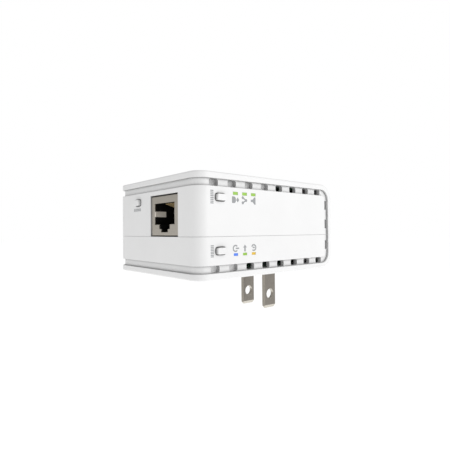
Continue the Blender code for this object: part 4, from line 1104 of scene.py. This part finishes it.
def paint_cad_pieces():
    """Materials for the pieces inside the case, which keep their CAD shapes."""
    lamps = ["%s_lamp_%d" % (row, number) for row in ("upper", "lower") for number in PIPE_NUMBERS]
    switches = [name + part for name in ("mode", "sync", "reset") for part in ("_switch", "_plunger")]
    finishes = {
        lamp_resin: lamps,
        dark_plastic: switches + ["blade_carrier", "board_link"],
        board_green: ["power_board", "radio_board"],
        ferrite: ["transformer_core", "line_coupling_transformer"],
        winding_tape: ["transformer_winding"],
        sleeve: ["storage_capacitor", "output_capacitor"],
        film_yellow: ["suppression_capacitor"],
        ceramic: ["fuse"],
        varistor_blue: ["varistor"],
        copper_wire: ["filter_choke"],
        black_epoxy: ["bridge_rectifier", "network_transformer", "radio_chip", "powerline_chip"],
        aluminium: ["heat_sink"],
        brass: ["antenna_front", "antenna_back"],
    }
    for finish, nodes in finishes.items():
        for node in nodes:
            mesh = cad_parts[node].data
            mesh.materials.clear()
            mesh.materials.append(finish)


# ---------------------------------------------------------------- studio

FLOOR_DROP = 0.105
SURROUND_LEVEL = 0.62
LAMPS = (("key", (0.35, -0.55, 0.30), (-0.02, 0, 0.015), 0.5, 1.75),
         ("fill_below", (0.06, -0.33, -0.28), (-0.02, -0.03, 0.015), 0.14, 0.26))
CAMERA_PLACE = (-116.3 * MM, -115.1 * MM, 14.3 * MM)
CAMERA_TURN = (40.4, 0.93, -0.45)


def make_floor():
    """Wide pale floor, well below the hanging piece."""
    builder = bmesh.new()
    bmesh.ops.create_grid(builder, x_segments=1, y_segments=1, size=6)
    floor = object_from("floor", builder)
    floor.location = (0, 0, cad_bounds[0].z - FLOOR_DROP)
    paper = Finish("floor_paper", (0.9, 0.9, 0.9), 0.9)
    paper.colour(paper.ramp(paper.noise(40), (0.3, (0.89, 0.89, 0.89)), (0.7, (0.91, 0.91, 0.91))))
    floor.data.materials.append(paper.glow((1, 1, 1), 0.45).material)


def make_world(level):
    """White surround; the light it sheds is weaker than the white it shows."""
    world = bpy.data.worlds.new("studio")
    SCENE.world = world
    world.use_nodes = True
    nodes, links = world.node_tree.nodes, world.node_tree.links
    nodes.clear()
    path = nodes.new("ShaderNodeLightPath")
    shown = nodes.new("ShaderNodeBackground")
    shed = nodes.new("ShaderNodeBackground")
    shed.inputs["Strength"].default_value = level
    mix = nodes.new("ShaderNodeMixShader")
    output = nodes.new("ShaderNodeOutputWorld")
    for node in (shown, shed):
        node.inputs["Color"].default_value = (1, 1, 1, 1)
    links.new(path.outputs["Is Camera Ray"], mix.inputs["Fac"])
    links.new(shed.outputs["Background"], mix.inputs[1])
    links.new(shown.outputs["Background"], mix.inputs[2])
    links.new(mix.outputs["Shader"], output.inputs["Surface"])


def make_panel_light(name, place_at, target, size, power):
    """Soft square lamp aimed at a point."""
    lamp = bpy.data.lights.new(name, "AREA")
    lamp.shape = "SQUARE"
    lamp.size = size
    lamp.energy = power
    holder = bpy.data.objects.new(name, lamp)
    holder.location = place_at
    holder.rotation_euler = (Vector(target) - Vector(place_at)).to_track_quat("-Z", "Y").to_euler()
    SCENE.collection.objects.link(holder)


def make_camera():
    """Camera near the corner between the socket side and the indicator face."""
    yaw, pitch, roll = (math.radians(angle) for angle in CAMERA_TURN)
    level = math.cos(pitch)
    forward = Vector((math.sin(yaw) * level, math.cos(yaw) * level, math.sin(pitch)))
    right = Vector((math.cos(yaw), -math.sin(yaw), 0))
    up = right.cross(forward)
    tilted_right = right * math.cos(roll) + up * math.sin(roll)
    tilted_up = up * math.cos(roll) - right * math.sin(roll)
    data = bpy.data.cameras.new("camera")
    data.lens = 30.11
    data.sensor_width = 36
    data.clip_start = 10 * MM
    camera = bpy.data.objects.new("camera", data)
    turn = Matrix((tilted_right, tilted_up, -forward)).transposed().to_4x4()
    camera.matrix_world = Matrix.Translation(CAMERA_PLACE) @ turn
    SCENE.collection.objects.link(camera)
    SCENE.camera = camera


# ---------------------------------------------------------------- assembly

def build():
    case = whole_case()
    make_upper_shell(case)
    make_lower_shell(case)
    remove(case)
    for name in ("mode", "sync", "reset"):
        make_button(name)
    green = lit("light_green", GREEN, 0.04)
    blue = lit("light_blue", BLUE, 0.04)
    amber = lit("light_amber", AMBER, 0.04)
    rows = {"upper": (("light_green", green),) * 3,
            "lower": (("light_blue", blue), ("light_green", green), ("light_amber", amber))}
    for row, colours in rows.items():
        for number, (slot, finish) in zip(PIPE_NUMBERS, colours):
            make_light_pipe("%s_light_pipe_%d" % (row, number), slot, finish)
    make_prints()
    make_shield()
    make_housing()
    make_contacts()
    for side in ("front", "back"):
        make_blade(side)
    for screw in SCREWS:
        make_screw(screw)
    make_label()
    paint_cad_pieces()

    SCENE.view_settings.view_transform = "Standard"
    make_floor()
    make_world(SURROUND_LEVEL)
    for lamp in LAMPS:
        make_panel_light(*lamp)
    make_camera()


build()
